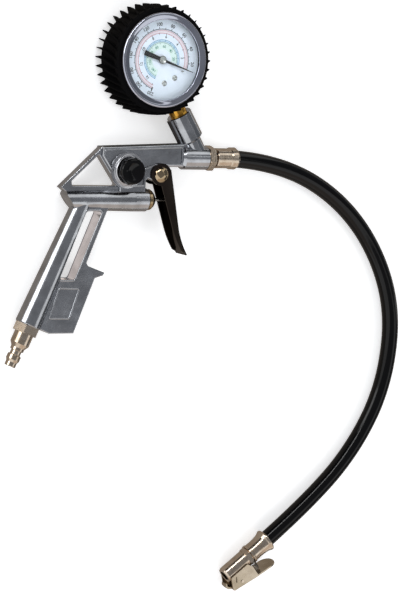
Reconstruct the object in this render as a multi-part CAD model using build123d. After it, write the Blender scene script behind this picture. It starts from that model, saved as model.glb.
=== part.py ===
from build123d import *
from math import sin, cos, tan, radians, degrees, pi, hypot, atan2, acos
import os

os.makedirs("parts", exist_ok=True)

# Frame: origin on the gauge axis at the boot's flat back, X to the muzzle, Y to the gun's top, Z out of the dial.

# Clearances
RUN = 0.05              # radial, round turning and sliding pieces
FIT = 0.1               # radial, round screwed and nested pieces
SEAT = 0.02             # radial, between pieces pressed together
THROUGH = 100.0         # length of a cutter that goes right through

# Gauge heights, stacked up from the boot's back
Z_MID = 12.0            # mid-plane of the gun and the stem
BOOT_BACK = 2.5         # rubber under the case
CASE_WALL = 0.8
BLOCK_H = 14.0          # socket block on the case's floor
PLATE_T = 1.0
PLATE_GAP = 4.6         # between the movement's plates
DIAL_CLEAR = 1.8        # over the movement
DIAL_T = 0.6
LENS_GAP = 2.9          # dial to lens
LENS_T = 1.8
BEZEL_LIP = 1.7         # bezel's thickness over the lens
BEZEL_SKIRT = 1.5       # bezel's depth below the case's rim
BOOT_LAP = 2.6          # boot's depth up the bezel

# Gauge radii, from the case outwards
CASE_R = 31.5
BEZEL_WALL = 2.5
BEZEL_LAP = 2.9         # bezel's opening inside the case's radius
BEZEL_FLARE = 1.9       # opening's growth over its sloping wall
DIAL_GAP = 0.7
LENS_SET = 0.5
BOOT_LIP = 1.6          # boot's wall round the bezel
SHOULDER_H = 1.9        # front shoulder of the tread over its floor
RIB_H = 4.4
RIBS = 38
RIB_W = 1.9
RIB_LEAN = 11.0         # degrees that a rib turns between its two ends

# Stem and neck, both on one line through the gauge axis
STEM_LEAN = 32.3        # degrees from -Y towards +X
STEM_R = 6.5
BLOCK_IN = 11.6         # socket block's inner end, inside the Bourdon tube's centre line
STEM_BARE = 5.65        # bare stem between the boot and the neck's rim
STEM_SCREW = 10.5       # threaded length in the neck
STEM_BORE = 2.0
BLOCK_HALF = 9.0
NECK_WALL = 2.8
NECK_LEN = 38.11        # rim to the muzzle's axis
NECK_STRAIGHT = 20.8
NECK_STEP = 2.5
NECK_RIB_H = 0.5
NECK_RIB_HALF = 3.0

# Gun body, with its own X and Y from the point on the muzzle's axis behind the neck
NECK_X = 44.757         # from that point to the neck's axis
BEAM_HALF = 6.0
BEAM_ROUND = 1.3
STRUT_HALF = 3.8        # the open triangle behind the beam is thinner
STRUT_ROUND = 0.9
BEAM_LOW = -6.6         # lower edge of the beam
PANEL_DEPTH = 0.9
FRONT_R = 8.75
FRONT_X0, FRONT_X1 = 26.9, 49.4
BARREL_DROP = 31.0      # valve barrel's axis under the muzzle's
BARREL_WALL = 3.1
BARREL_X0, BARREL_X1 = -66.0, 0.6
GRIP_LEAN = 24.0        # degrees from -Y towards -X
GRIP_FOOT = (-90.3, -120.9)  # centre of the tube's end rim
GRIP_TUBE_R = 9.6
GRIP_HALF = 6.0
RIM_H = 0.5             # raised rims on the grip's sides
RIM_W = 1.1
PASSAGE_R = 1.3
AIR_R = 2.2
GAUGE_PORT_X = 35.4     # where the neck's passage meets the muzzle's
INLET_R = 2.6
BOSS_RISE = 0.6         # button boss over the beam's side

# Valve
PIN_R = 1.25
POPPET_R = 4.6
POPPET_T = 2.4
POPPET_TAIL = 3.6       # stem behind the poppet, inside the spring
SEAL_T = 1.15
NUT_IN = 8.0            # screwed length of the nut
NUT_DOME = 2.2          # dome's radius over the thread's
NUT_SKIRT = 2.2
NUT_OUT = 6.8           # length of the skirt and dome
PORT_BACK = 6.0         # nut's side port, behind its face
PORT_R = 1.2
GLAND_BACK = 3.7        # gland pocket, behind the nut's face
GLAND_R = 2.6
GLAND_T = 1.5
CHAMBER_X0 = -30.0
VALVE_WIRE = 0.9

# Trigger
PIVOT_AT = (8.8, -12.1)
LUG_R = 5.8
TRIGGER_SHEET = 1.2
TRIGGER_PLAY = 0.3      # each side of the lug
TRIGGER_HEAD = 8.2
EDGE_TOP, EDGE_BEND, EDGE_TIP = (16.6, -8.6), (24.9, -50.0), (33.6, -71.4)
BACK_TOP, BACK_BEND, BACK_TIP = (9.2, -19.2), (20.2, -51.2), (28.6, -68.6)
STEM_GAP = 0.2          # between the valve stem's end and the trigger's web
RIVET_R = 2.4
RIVET_HEAD = 5.7
RIVET_H = 3.0
RIVET_GAP = 0.1         # under each rivet head

# Bleed button
BLEED_AT = (-18.8, -9.4)
COLLAR_R = 10.3
COLLAR_T = 1.8
SEAT_OVER = 2.0         # collar's underside, where the seal closes, over the mid-plane
BLEED_THREAD = 5.4
BLEED_TRAVEL = 2.6      # knob's height over the collar
KNOB_H = 5.4
KNOB_FLATS = 17.6
KNOB_SKIRT = 2.2        # height of the hexagon under the round crown
KNOB_R = 9.5
DISH_R = 6.2
HUB_R = 7.4
HUB_H = 0.8
BLEED_STEM_R = 1.8
BLEED_SEAL_R = 2.8
BLEED_SEAL_T = 1.55
SPRING_CUP = 4.2

# Inlet plug
PLUG_THREAD = 6.4
PLUG_SCREW = 9.6
PLUG_FLATS = 17.0
PLUG_HEX = 6.2
PLUG_R = 7.0
PLUG_TIP_R = 5.0
PLUG_GROOVE_R = 3.9
PLUG_BODY = 8.2         # round length after the hexagon
PLUG_CONE = 3.0
PLUG_GROOVE = 13.2      # start of the groove after the hexagon
PLUG_GROOVE_W = 3.8
PLUG_LEN = 25.6

# Hose fitting, ferrules and hose
FITTING_THREAD = 6.4
FITTING_FLATS = 16.6
FITTING_HEX = 5.1
FITTING_NECK = 2.4
FERRULE_LEN = 18.1
FERRULE_WALL = 1.0
HOSE_R = 6.5
HOSE_BORE = 3.3
HOSE_IN = 16.0          # hose inside each ferrule
HOSE_LIFT = 0.2         # hose over the bench

# Chuck
CHUCK_AT = (124.2, -370.5)   # centre of the rear ferrule's mouth
CHUCK_DIP = 35.0             # degrees of the chuck's axis below -X
CHUCK_LIFT = 0.3             # mouth of the ferrule over the bench
BELL_WALL = 2.7              # bell mouth's rim over the hose's radius
CHUCK_R = 6.7
CHUCK_LEN = 44.6             # mouth to nose
CRIMP_LEN = 16.4             # length of the rear ferrule
NOSE_R = 4.1
NOSE_DEPTH = 12.1
CHUCK_SEAL_T = 3.8
CHUCK_AIR_R = 1.6
OPENER_T = 1.0
LEVER_SHEET = 1.2
LEVER_PLAY = 0.3
LEVER_BACK, LEVER_OUT = 7.6, 2.6    # lever's pin from the nose and over the body's radius
LEVER_PIN_R = 1.2
LEVER_PIN_HEAD = 0.6

# Movement
MODULE = 0.3
PINION_TEETH = 12
RATIO = 9
GEAR_GAP = 0.04
BACKLASH = 0.03
SECTOR_AT = 230.0       # degrees, direction of the sector's pivot from the gauge axis
GEAR_RISE = 1.4         # gears over the low plate
GEAR_T = 1.1
TAIL = 7.0              # from the sector's pivot to its link pin
LINK_PIN_R = 0.4
LINK_PLAY = 0.3         # room for the tail's arc beside the link's straight pull
LINK_T = 0.8
SHAFT_R = 0.7
TUBE_GAP = 6.1          # Bourdon tube's centre line inside the case
TUBE_H, TUBE_W = 9.0, 2.8
TUBE_WALL = 0.4
PILLAR_R = 1.6
HAIRSPRING_TURNS = 4.0

# Dial, pointer and their screws
DIAL_SCREW_IN = 7.8     # dial screws inside the Bourdon tube's centre line
DIAL_SCREW_ANGLES = (-80.0, -48.0)
DIAL_SCREW_R = 1.0
POINTER_RISE = 1.4      # pointer over the dial's face
POINTER_T = 0.4
SHAFT_TOP = 0.5         # pointer's shaft over the pointer
POINTER_TIP = 26.6
POINTER_TAIL = 15.6
POINTER_ANGLE = -17.5   # degrees, direction of the pointer at zero
POINTER_SWEEP = 270.0
CASE_SCREW_R = 1.5

# Heights and radii that follow
CASE_FLOOR = BOOT_BACK + CASE_WALL
PLATE_LOW = CASE_FLOOR + BLOCK_H
PLATE_HIGH = PLATE_LOW + PLATE_T + PLATE_GAP
DIAL_BACK = PLATE_HIGH + PLATE_T + DIAL_CLEAR
DIAL_FACE = DIAL_BACK + DIAL_T
CASE_FRONT = DIAL_FACE + LENS_GAP
LENS_TOP = CASE_FRONT + LENS_T
BEZEL_TOP = LENS_TOP + BEZEL_LIP
BEZEL_BACK = CASE_FRONT - BEZEL_SKIRT
BOOT_TOP = BEZEL_BACK + BOOT_LAP
CASE_IN = CASE_R - CASE_WALL
BEZEL_R = CASE_R + BEZEL_WALL
BOOT_CORE = BEZEL_R + BOOT_LIP
BOOT_R = BOOT_CORE + RIB_H
NECK_TOP = BOOT_R + STEM_BARE
STEM_OUT = NECK_TOP + STEM_SCREW
NECK_END = NECK_TOP + NECK_LEN
NECK_R = STEM_R + FIT + NECK_WALL
CHAMBER_R = POPPET_R + 0.5
NUT_R = CHAMBER_R + 0.4
BARREL_R = NUT_R + FIT + BARREL_WALL
TRIGGER_HALF = BEAM_HALF + TRIGGER_PLAY + TRIGGER_SHEET
HOSE_Z = HOSE_R + HOSE_LIFT
CHUCK_Z = HOSE_R + BELL_WALL + CHUCK_LIFT
LEVER_HALF = CHUCK_R + LEVER_PLAY + LEVER_SHEET
TUBE_R = CASE_IN - TUBE_GAP
STEM_IN = TUBE_R - BLOCK_IN
DIAL_SCREW_AT = TUBE_R - DIAL_SCREW_IN
SECTOR_SWING = POINTER_SWEEP / RATIO

STEM_DIR = (sin(radians(STEM_LEAN)), -cos(radians(STEM_LEAN)), 0)
GRIP_DIR = (-sin(radians(GRIP_LEAN)), -cos(radians(GRIP_LEAN)), 0)
CHUCK_DIR = (-cos(radians(CHUCK_DIP)), -sin(radians(CHUCK_DIP)), 0)
CHUCK_SIDE = (sin(radians(CHUCK_DIP)), -cos(radians(CHUCK_DIP)), 0)
UP = (0, 0, 1)


def back(direction):
    return tuple(-c for c in direction)


def on_stem(distance, z=Z_MID):
    return (STEM_DIR[0] * distance, STEM_DIR[1] * distance, z)


GUN_X = on_stem(NECK_END)[0] - NECK_X
FRONT_Y = on_stem(NECK_END)[1]
BARREL_Y = FRONT_Y - BARREL_DROP


def on_gun(x, y):
    return (x + GUN_X, y + FRONT_Y)


def on_grip(distance, side=0.0, z=Z_MID):
    """A point past the grip's end rim, moved sideways to the front."""
    x, y = on_gun(*GRIP_FOOT)
    return (x + GRIP_DIR[0] * distance - GRIP_DIR[1] * side, y + GRIP_DIR[1] * distance + GRIP_DIR[0] * side, z)


def on_chuck(along, side=0.0, z=CHUCK_Z):
    return (CHUCK_AT[0] + CHUCK_DIR[0] * along + CHUCK_SIDE[0] * side,
            CHUCK_AT[1] + CHUCK_DIR[1] * along + CHUCK_SIDE[1] * side, z)


def polar(radius, angle):
    return (radius * cos(radians(angle)), radius * sin(radians(angle)))


def rod(start, direction, length, radius):
    """A round bar from a point along a direction."""
    return Plane(origin=start, z_dir=direction) * Cylinder(
        radius, length, align=(Align.CENTER, Align.CENTER, Align.MIN))


def rod_x(x0, x1, y, z, radius):
    return rod((x0, y, z), (1, 0, 0), x1 - x0, radius)


def disc(x, y, z0, z1, radius):
    return rod((x, y, z0), UP, z1 - z0, radius)


def turned(start, direction, profile, smooth=False):
    """A body of revolution from (distance, radius) pairs along a direction."""
    edge = [(r, 0, s) for s, r in profile]
    outer = Spline(*edge) if smooth else Polyline(*edge)
    axis = Polyline(edge[-1], (0, 0, edge[-1][2]), (0, 0, edge[0][2]), edge[0])
    return Plane(origin=start, z_dir=direction) * revolve(make_face(outer + axis), Axis.Z, 360)


def dome(start, direction, radius, skirt, height):
    """A round head: a short cylinder under a spherical cap."""
    ball = (radius ** 2 + height ** 2) / (2 * height)
    head = Cylinder(radius, skirt + height, align=(Align.CENTER, Align.CENTER, Align.MIN))
    return Plane(origin=start, z_dir=direction) * (head & Pos(0, 0, skirt + height - ball) * Sphere(ball))


def outline(points):
    return make_face(Polyline(*points, close=True))


def slab(points, z0, z1):
    """A flat plate with the given outline."""
    return extrude(outline([(x, y, z0) for x, y in points]), amount=z1 - z0, dir=UP)


def gun_slab(points, z0, z1):
    return slab([on_gun(x, y) for x, y in points], z0, z1)


def rounded(solid, radius):
    """The upright corners of a plate, rounded."""
    return fillet(solid.edges().filter_by(Axis.Z), radius)


def softened(solid, radius):
    """The edges round both flat sides of a plate, rounded."""
    levels = solid.edges().group_by(Axis.Z)
    return fillet(levels[0] + levels[-1], radius)


def hexagon(start, direction, length, flats, turn=0.0):
    """A hexagonal bar with both ends turned to a light chamfer."""
    bar = extrude(RegularPolygon(flats / 2, 6, major_radius=False, rotation=turn), amount=length)
    bevel = flats * 0.045
    ends = turned((0, 0, 0), UP, [(0, flats / 2 + bevel), (bevel, flats / 2 + 2 * bevel),
                                  (length - bevel, flats / 2 + 2 * bevel), (length, flats / 2 + bevel)])
    return Plane(origin=start, z_dir=direction) * (bar & ends)


def coil(start, direction, length, radius, wire, turns):
    """A helical wire spring with open ends."""
    height = length - 2 * wire
    path = Helix(height / turns, height, radius).moved(Location((0, 0, wire)))
    section = Plane(origin=path @ 0, z_dir=path % 0) * Circle(wire / 2)
    return Plane(origin=start, z_dir=direction) * sweep(section, path=path)


def toothed(teeth, whole, addendum, dedendum):
    """Outline of an involute gear of which `whole` says which teeth to draw."""
    pitch = MODULE * teeth / 2
    base = pitch * cos(radians(20))
    tip, root = pitch + addendum, pitch - dedendum
    half = pi / (2 * teeth) - BACKLASH / pitch
    spread = tan(radians(20)) - radians(20)
    start = max(base, root)
    steps = [start + (tip - start) * i / 3 for i in range(4)]
    if root < base:
        steps.insert(0, root)

    def flank(radius):
        angle = acos(min(1.0, base / radius))
        return half + spread - (tan(angle) - angle)

    points = []
    for tooth in whole:
        centre = 2 * pi * tooth / teeth
        points += [(r, centre - flank(r)) for r in steps]
        points += [(r, centre + flank(r)) for r in reversed(steps)]
    return [(r * cos(t), r * sin(t)) for r, t in points]


pieces = {}
PIVOT = on_gun(*PIVOT_AT)
BLEED = on_gun(*BLEED_AT)
COLLAR_BASE = Z_MID + BEAM_HALF + BOSS_RISE
COLLAR_TOP = COLLAR_BASE + COLLAR_T
BLEED_SEAT = Z_MID + SEAT_OVER
KNOB_UNDER = COLLAR_TOP + BLEED_TRAVEL
KNOB_TOP = KNOB_UNDER + KNOB_H

# Gun body: beam with its panels, and the open triangle of struts behind it
beam = gun_slab([
    (-38.6, 7.5), (27.9, 10.4), (27.9, BEAM_LOW), (14.6, BEAM_LOW), (14.8, -12.2), (12.6, -16.0), (8.0, -17.7),
    (2.7, -17.0), (-1.4, -15.4), (-2.9, -17.0), (-2.9, -BARREL_DROP), (-24.0, -BARREL_DROP), (-24.0, -20.3), (-39.1, 0.7)],
    Z_MID - BEAM_HALF, Z_MID + BEAM_HALF)
beam = softened(beam, BEAM_ROUND)
panel = [(-36.9, 4.9), (26.2, 7.6), (26.2, -4.4), (4.0, -4.8), (-4.6, -7.7), (-4.6, -19.7), (-22.2, -20.6),
         (-22.2, -19.8), (-37.2, 1.0)]
for sign in (1, -1):
    face_z = Z_MID + sign * BEAM_HALF
    beam -= gun_slab(panel, face_z - PANEL_DEPTH, face_z + PANEL_DEPTH)
beam += disc(*PIVOT, Z_MID - BEAM_HALF, Z_MID + BEAM_HALF, LUG_R)
struts = gun_slab([
    (-38.6, 7.5), (-20.0, 7.8), (-10.0, -BARREL_DROP), (-58.0, -BARREL_DROP), (-70.5, -22.0)],
    Z_MID - STRUT_HALF, Z_MID + STRUT_HALF)
window = gun_slab([(-41.0, 1.5), (-61.8, -17.6), (-61.4, -20.8), (-25.0, -20.8)],
                  Z_MID - STRUT_HALF, Z_MID + STRUT_HALF)
struts = softened(struts - rounded(window, 1.2), STRUT_ROUND)

# Gun body: valve barrel with its slanting end, front boss, neck and button boss
barrel = turned((GUN_X + BARREL_X0, BARREL_Y, Z_MID), (1, 0, 0), [
    (0, BARREL_R - 1.3), (BARREL_X1 - BARREL_X0 - 12, BARREL_R), (BARREL_X1 - BARREL_X0 - 1.2, BARREL_R),
    (BARREL_X1 - BARREL_X0, BARREL_R - 1.2)])
barrel -= gun_slab([(-80, -9.2), (-71.5, -19.2), (-56.8, -41.2), (-80, -49.2)], 0, THROUGH)
front = turned((GUN_X + FRONT_X0, FRONT_Y, Z_MID), (1, 0, 0), [
    (0, FRONT_R - 1.5), (2.0, FRONT_R), (FRONT_X1 - FRONT_X0 - 0.8, FRONT_R), (FRONT_X1 - FRONT_X0, FRONT_R - 0.8)])
neck = turned(on_stem(NECK_TOP), STEM_DIR, [
    (0, NECK_R - 0.6), (0.6, NECK_R), (NECK_STRAIGHT, NECK_R), (NECK_STRAIGHT + 2.0, NECK_R - NECK_STEP),
    (NECK_LEN, NECK_R - NECK_STEP - 0.3)])
neck += Plane(origin=on_stem(NECK_TOP + 1.0), x_dir=UP, z_dir=STEM_DIR) * Box(
    2 * NECK_RIB_HALF, NECK_R + NECK_RIB_H, NECK_LEN - 8.0, align=(Align.CENTER, Align.MIN, Align.MIN))
boss = turned((*BLEED, Z_MID), UP, [
    (0, COLLAR_R + 1.9), (BEAM_HALF - 3.0, COLLAR_R + 1.9), (BEAM_HALF - 0.4, COLLAR_R + 1.1),
    (COLLAR_BASE - Z_MID, COLLAR_R + 0.7)])

# Gun body: grip, a tube with a slotted plate before it
foot_front, foot_rear = on_grip(-0.5, 15.4)[:2], on_grip(-0.5, -5.0)[:2]
plate_line = [on_gun(x, y) for x, y in (
    (-36.0, -35.2), (-31.6, -35.2), (-34.0, -39.7), (-48.4, -76.2), (-47.2, -78.3), (-33.4, -83.5), (-34.8, -85.6),
    (-41.2, -87.4), (-56.6, -127.2))]
plate_line += [foot_front, foot_rear] + [on_gun(x, y) for x, y in ((-70.0, -70.7), (-58.0, -43.2), (-58.0, -33.2))]
grip = softened(slab(plate_line, Z_MID - GRIP_HALF, Z_MID + GRIP_HALF), 0.7)
grip_reach = (on_gun(*GRIP_FOOT)[1] - BARREL_Y) / GRIP_DIR[1]
grip += turned(on_grip(-grip_reach + 2.4), GRIP_DIR, [
    (0, GRIP_TUBE_R - 2.6), (40.0, GRIP_TUBE_R - 1.4), (78.0, GRIP_TUBE_R - 0.4),
    (grip_reach - 3.2, GRIP_TUBE_R), (grip_reach - 2.4, GRIP_TUBE_R - 0.6)])
slot_line = [on_gun(x, y) for x, y in ((-50.4, -38.6), (-37.5, -38.6), (-57.7, -88.3), (-70.4, -87.8))]
recess_line = [on_gun(x, y) for x, y in ((-69.2, -94.5), (-54.2, -95.1), (-61.0, -115.5), (-75.8, -115.0))]
low_z, rim_height = Z_MID - GRIP_HALF - RIM_H, 2 * (GRIP_HALF + RIM_H)
for line, corner in ((slot_line, 2.2), (recess_line, 0.9)):
    hole = rounded(slab(line, low_z, low_z + rim_height), corner)
    rim = extrude(offset(hole.faces().sort_by(Axis.Z)[0], amount=RIM_W), amount=-rim_height)
    grip += rim - hole
grip -= rounded(slab(slot_line, 0, THROUGH), 2.2)

body = beam + struts + barrel + front + neck + grip + boss

# Gun body: threaded holes and air passages
body -= rod(on_stem(NECK_TOP - 1), STEM_DIR, STEM_SCREW + 2.5, STEM_R + FIT)
gauge_line = Vector(*on_gun(GAUGE_PORT_X, 0), Z_MID) - Vector(*on_stem(STEM_OUT))
body -= rod(on_stem(STEM_OUT), gauge_line, gauge_line.length, STEM_BORE + 0.4)
body -= rod_x(GUN_X + FRONT_X1 - 11.0, GUN_X + FRONT_X1 + 1, FRONT_Y, Z_MID, FITTING_THREAD + FIT)
body -= rod_x(BLEED[0], GUN_X + FRONT_X1 - 10.0, FRONT_Y, Z_MID, AIR_R)
body -= rod((BLEED[0], FRONT_Y, Z_MID), (0, -1, 0), FRONT_Y - BLEED[1], PASSAGE_R)
nut_face = GUN_X + BARREL_X1
port_x = nut_face - PORT_BACK
body -= rod((port_x, FRONT_Y, Z_MID), (0, -1, 0), BARREL_DROP, PASSAGE_R)
body -= rod_x(GUN_X + CHAMBER_X0, nut_face, BARREL_Y, Z_MID, CHAMBER_R)
body -= rod_x(nut_face - NUT_IN, nut_face + 1, BARREL_Y, Z_MID, NUT_R + FIT)
body -= rod(on_grip(-PLUG_SCREW), back(GRIP_DIR), grip_reach - PLUG_SCREW, INLET_R)
body -= rod_x(on_grip(-grip_reach)[0], GUN_X + CHAMBER_X0, BARREL_Y, Z_MID, INLET_R)
body -= rod(on_grip(-PLUG_SCREW - 0.9), GRIP_DIR, PLUG_SCREW + 2, PLUG_THREAD + FIT)
body -= disc(*PIVOT, 0, THROUGH, RIVET_R)
body -= disc(*BLEED, BLEED_SEAT - 5.0, BLEED_SEAT, BLEED_SEAL_R + 0.2)
body -= disc(*BLEED, BLEED_SEAT, COLLAR_BASE + 1, BLEED_THREAD + FIT)
pieces["gun_body"] = body

# Inlet plug
plug = hexagon(on_grip(0.0), GRIP_DIR, PLUG_HEX, PLUG_FLATS)
plug += turned(on_grip(PLUG_HEX), GRIP_DIR, [
    (0, PLUG_R), (PLUG_BODY, PLUG_R), (PLUG_BODY + 0.6, PLUG_R - 0.4), (PLUG_BODY + PLUG_CONE, PLUG_TIP_R),
    (PLUG_GROOVE, PLUG_TIP_R), (PLUG_GROOVE + 0.4, PLUG_GROOVE_R), (PLUG_GROOVE + PLUG_GROOVE_W - 0.6, PLUG_GROOVE_R),
    (PLUG_GROOVE + PLUG_GROOVE_W, PLUG_TIP_R), (PLUG_LEN - 5.2, PLUG_TIP_R), (PLUG_LEN - 3.4, PLUG_TIP_R - 0.9),
    (PLUG_LEN - 0.4, PLUG_TIP_R - 0.9), (PLUG_LEN, PLUG_TIP_R - 1.3)])
plug += rod(on_grip(-PLUG_SCREW), GRIP_DIR, PLUG_SCREW, PLUG_THREAD)
plug -= rod(on_grip(-PLUG_SCREW - 1), GRIP_DIR, THROUGH, INLET_R)
pieces["inlet_plug"] = plug

# Valve nut with its dome, and the gland ring inside it
nut = rod_x(nut_face - NUT_IN, nut_face, BARREL_Y, Z_MID, NUT_R)
nut += dome((nut_face, BARREL_Y, Z_MID), (1, 0, 0), NUT_R + NUT_DOME, NUT_SKIRT, NUT_OUT - NUT_SKIRT)
nut -= rod_x(nut_face - NUT_IN, nut_face + NUT_OUT, BARREL_Y, Z_MID, PIN_R + RUN)
nut -= rod_x(nut_face - NUT_IN, nut_face - GLAND_BACK - 0.9, BARREL_Y, Z_MID, GLAND_R)
nut -= rod_x(nut_face - GLAND_BACK, nut_face - GLAND_BACK + GLAND_T + 0.4, BARREL_Y, Z_MID, GLAND_R)
nut -= rod((port_x, BARREL_Y, Z_MID), (0, 1, 0), NUT_R + 1, PORT_R)
pieces["valve_nut"] = nut
gland = rod_x(nut_face - GLAND_BACK + 0.3, nut_face - GLAND_BACK + 0.3 + GLAND_T, BARREL_Y, Z_MID, GLAND_R - RUN)
pieces["gland_ring"] = gland - rod_x(nut_face - GLAND_BACK, nut_face, BARREL_Y, Z_MID, PIN_R + RUN)

# Valve stem that ends just behind the trigger's web, with its disc, seal and spring
web_slope = (EDGE_BEND[0] - EDGE_TOP[0]) / (EDGE_TOP[1] - EDGE_BEND[1])
web_x = GUN_X + EDGE_TOP[0] + (EDGE_TOP[1] + BARREL_DROP) * web_slope
stem_end = web_x - TRIGGER_SHEET * hypot(1, web_slope) - STEM_GAP
poppet_x = nut_face - NUT_IN - RUN - SEAL_T
stem = rod_x(poppet_x - POPPET_T - POPPET_TAIL, stem_end - 0.6, BARREL_Y, Z_MID, PIN_R)
stem += dome((stem_end - 0.6, BARREL_Y, Z_MID), (1, 0, 0), PIN_R, 0.0, 0.6)
stem += rod_x(poppet_x - POPPET_T, poppet_x, BARREL_Y, Z_MID, POPPET_R)
pieces["valve_stem"] = stem
seal = rod_x(poppet_x, poppet_x + SEAL_T, BARREL_Y, Z_MID, POPPET_R - 0.4)
pieces["valve_seal"] = seal - rod_x(poppet_x, poppet_x + SEAL_T, BARREL_Y, Z_MID, PIN_R)
pieces["valve_spring"] = coil((GUN_X + CHAMBER_X0, BARREL_Y, Z_MID), (1, 0, 0),
                              poppet_x - POPPET_T - GUN_X - CHAMBER_X0, POPPET_R - 1.2, VALVE_WIRE, 6)

# Trigger: sheet folded to a channel that is open to the rear
straight = (EDGE_BEND[0] - EDGE_TOP[0], EDGE_BEND[1] - EDGE_TOP[1])
rear_straight = (BACK_BEND[0] - BACK_TOP[0], BACK_BEND[1] - BACK_TOP[1])


def front_edge(shift):
    """The trigger's front edge, moved back square to its straight part."""
    off = Vector(straight[1], -straight[0]).normalized() * shift
    top, bend, tip = (Vector(*on_gun(*p)) + off for p in (EDGE_TOP, EDGE_BEND, EDGE_TIP))
    return Line(top, bend) + TangentArc(bend, tip, tangent=straight)


rear_edge = Line(on_gun(*BACK_TOP), on_gun(*BACK_BEND)) + TangentArc(
    on_gun(*BACK_BEND), on_gun(*BACK_TIP), tangent=rear_straight)
ends = Line(on_gun(*EDGE_TIP), on_gun(*BACK_TIP)) + Polyline(
    on_gun(*BACK_TOP), PIVOT, on_gun(PIVOT_AT[0], PIVOT_AT[1] + 6.9), on_gun(EDGE_TOP[0] - 1.8, EDGE_TOP[1] + 1.4),
    on_gun(*EDGE_TOP))
flange = make_face(front_edge(0) + rear_edge + ends) + Pos(*PIVOT) * Circle(TRIGGER_HEAD)
low, high = Z_MID - TRIGGER_HALF, Z_MID + TRIGGER_HALF
trigger = Pos(0, 0, low) * extrude(flange, amount=TRIGGER_SHEET) + Pos(0, 0, high - TRIGGER_SHEET) * extrude(
    flange, amount=TRIGGER_SHEET)
web_ends = Line(front_edge(0) @ 0, front_edge(TRIGGER_SHEET) @ 0) + Line(
    front_edge(0) @ 1, front_edge(TRIGGER_SHEET) @ 1)
web = extrude(make_face(front_edge(0) + front_edge(TRIGGER_SHEET) + web_ends), amount=2 * TRIGGER_HALF)
trigger += Pos(0, 0, low) * web
trigger -= disc(*PIVOT, 0, THROUGH, RIVET_R + RUN)
pieces["trigger"] = trigger

pin = disc(*PIVOT, low - RIVET_GAP, high + RIVET_GAP, RIVET_R)
for sign in (1, -1):
    pin += dome((*PIVOT, Z_MID + sign * (TRIGGER_HALF + RIVET_GAP)), (0, 0, sign), RIVET_HEAD, 0.3, RIVET_H - 0.3)
pieces["trigger_pin"] = pin

# Bleed button with its collar, stem, seal and spring
collar = chamfer(disc(*BLEED, COLLAR_BASE, COLLAR_TOP, COLLAR_R).edges().group_by(Axis.Z)[-1], 0.5)
collar += disc(*BLEED, BLEED_SEAT, COLLAR_BASE, BLEED_THREAD)
collar -= disc(*BLEED, COLLAR_BASE + HUB_H, COLLAR_TOP, HUB_R + FIT)
collar -= disc(*BLEED, BLEED_SEAT + 2.0, COLLAR_TOP, SPRING_CUP)
collar -= disc(*BLEED, BLEED_SEAT, COLLAR_TOP, BLEED_STEM_R + 0.5)
pieces["bleed_collar"] = collar
knob = hexagon((*BLEED, KNOB_UNDER), UP, KNOB_SKIRT + 1.0, KNOB_FLATS, 15.0)
knob += turned((*BLEED, KNOB_UNDER), UP, [
    (KNOB_SKIRT, KNOB_R - 0.5), (KNOB_SKIRT + 0.4, KNOB_R), (KNOB_H - 1.2, KNOB_R), (KNOB_H - 0.4, KNOB_R - 0.5),
    (KNOB_H, KNOB_R - 1.4)])
knob += disc(*BLEED, KNOB_UNDER - HUB_H, KNOB_UNDER, HUB_R)
dish = (DISH_R ** 2 + 1.3 ** 2) / (2 * 1.3)
knob -= Pos(*BLEED, KNOB_TOP - 1.3 + dish) * Sphere(dish)
pieces["bleed_button"] = knob
disc_z = BLEED_SEAT - RUN - BLEED_SEAL_T
bleed_stem = disc(*BLEED, disc_z - 0.8, KNOB_UNDER - HUB_H, BLEED_STEM_R)
pieces["bleed_stem"] = bleed_stem + disc(*BLEED, disc_z - 0.8, disc_z, BLEED_SEAL_R - 0.1)
bleed_seal = disc(*BLEED, disc_z, BLEED_SEAT - RUN, BLEED_SEAL_R)
pieces["bleed_seal"] = bleed_seal - disc(*BLEED, disc_z, BLEED_SEAT, BLEED_STEM_R)
pieces["bleed_spring"] = coil((*BLEED, BLEED_SEAT + 2.0), UP, KNOB_UNDER - HUB_H - BLEED_SEAT - 2.0,
                              SPRING_CUP - 1.0, 0.6, 4)

# Gauge boot: a rubber cup with curved ribs round its tread
boot = turned((0, 0, 0), UP, [
    (0, BOOT_CORE - 1.6), (1.4, BOOT_CORE), (BOOT_TOP - 8.0, BOOT_CORE), (BOOT_TOP - 4.6, BOOT_CORE + SHOULDER_H),
    (BOOT_TOP - 1.4, BOOT_CORE + SHOULDER_H), (BOOT_TOP - 0.3, BOOT_CORE + 0.6), (BOOT_TOP, BOOT_CORE - 0.6)])
boot -= disc(0, 0, BOOT_BACK, BOOT_TOP, CASE_R + SEAT)
boot -= disc(0, 0, BEZEL_BACK - FIT, BOOT_TOP, BEZEL_R + SEAT)
rib_base, rib_top = 0.8, BOOT_TOP - 1.2
ribs = []
for k in range(RIBS):
    sections = []
    for step in range(5):
        share = step / 4
        crown = BOOT_R - 0.9 * share ** 4
        half = RIB_W / 2
        edge = [(BOOT_CORE - 0.4, -half), (crown, -half * 0.35), (crown, half * 0.35), (BOOT_CORE - 0.4, half)]
        turn = 360.0 * k / RIBS + RIB_LEAN * share ** 1.5
        height = rib_base + (rib_top - rib_base) * share
        sections.append(Location((0, 0, height), (0, 0, turn)) * outline(edge))
    ribs.append(loft(sections, ruled=True))
boot = boot + ribs
boot -= rod(on_stem(CASE_R - 5.0), STEM_DIR, BOOT_R, STEM_R + 0.6)

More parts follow.
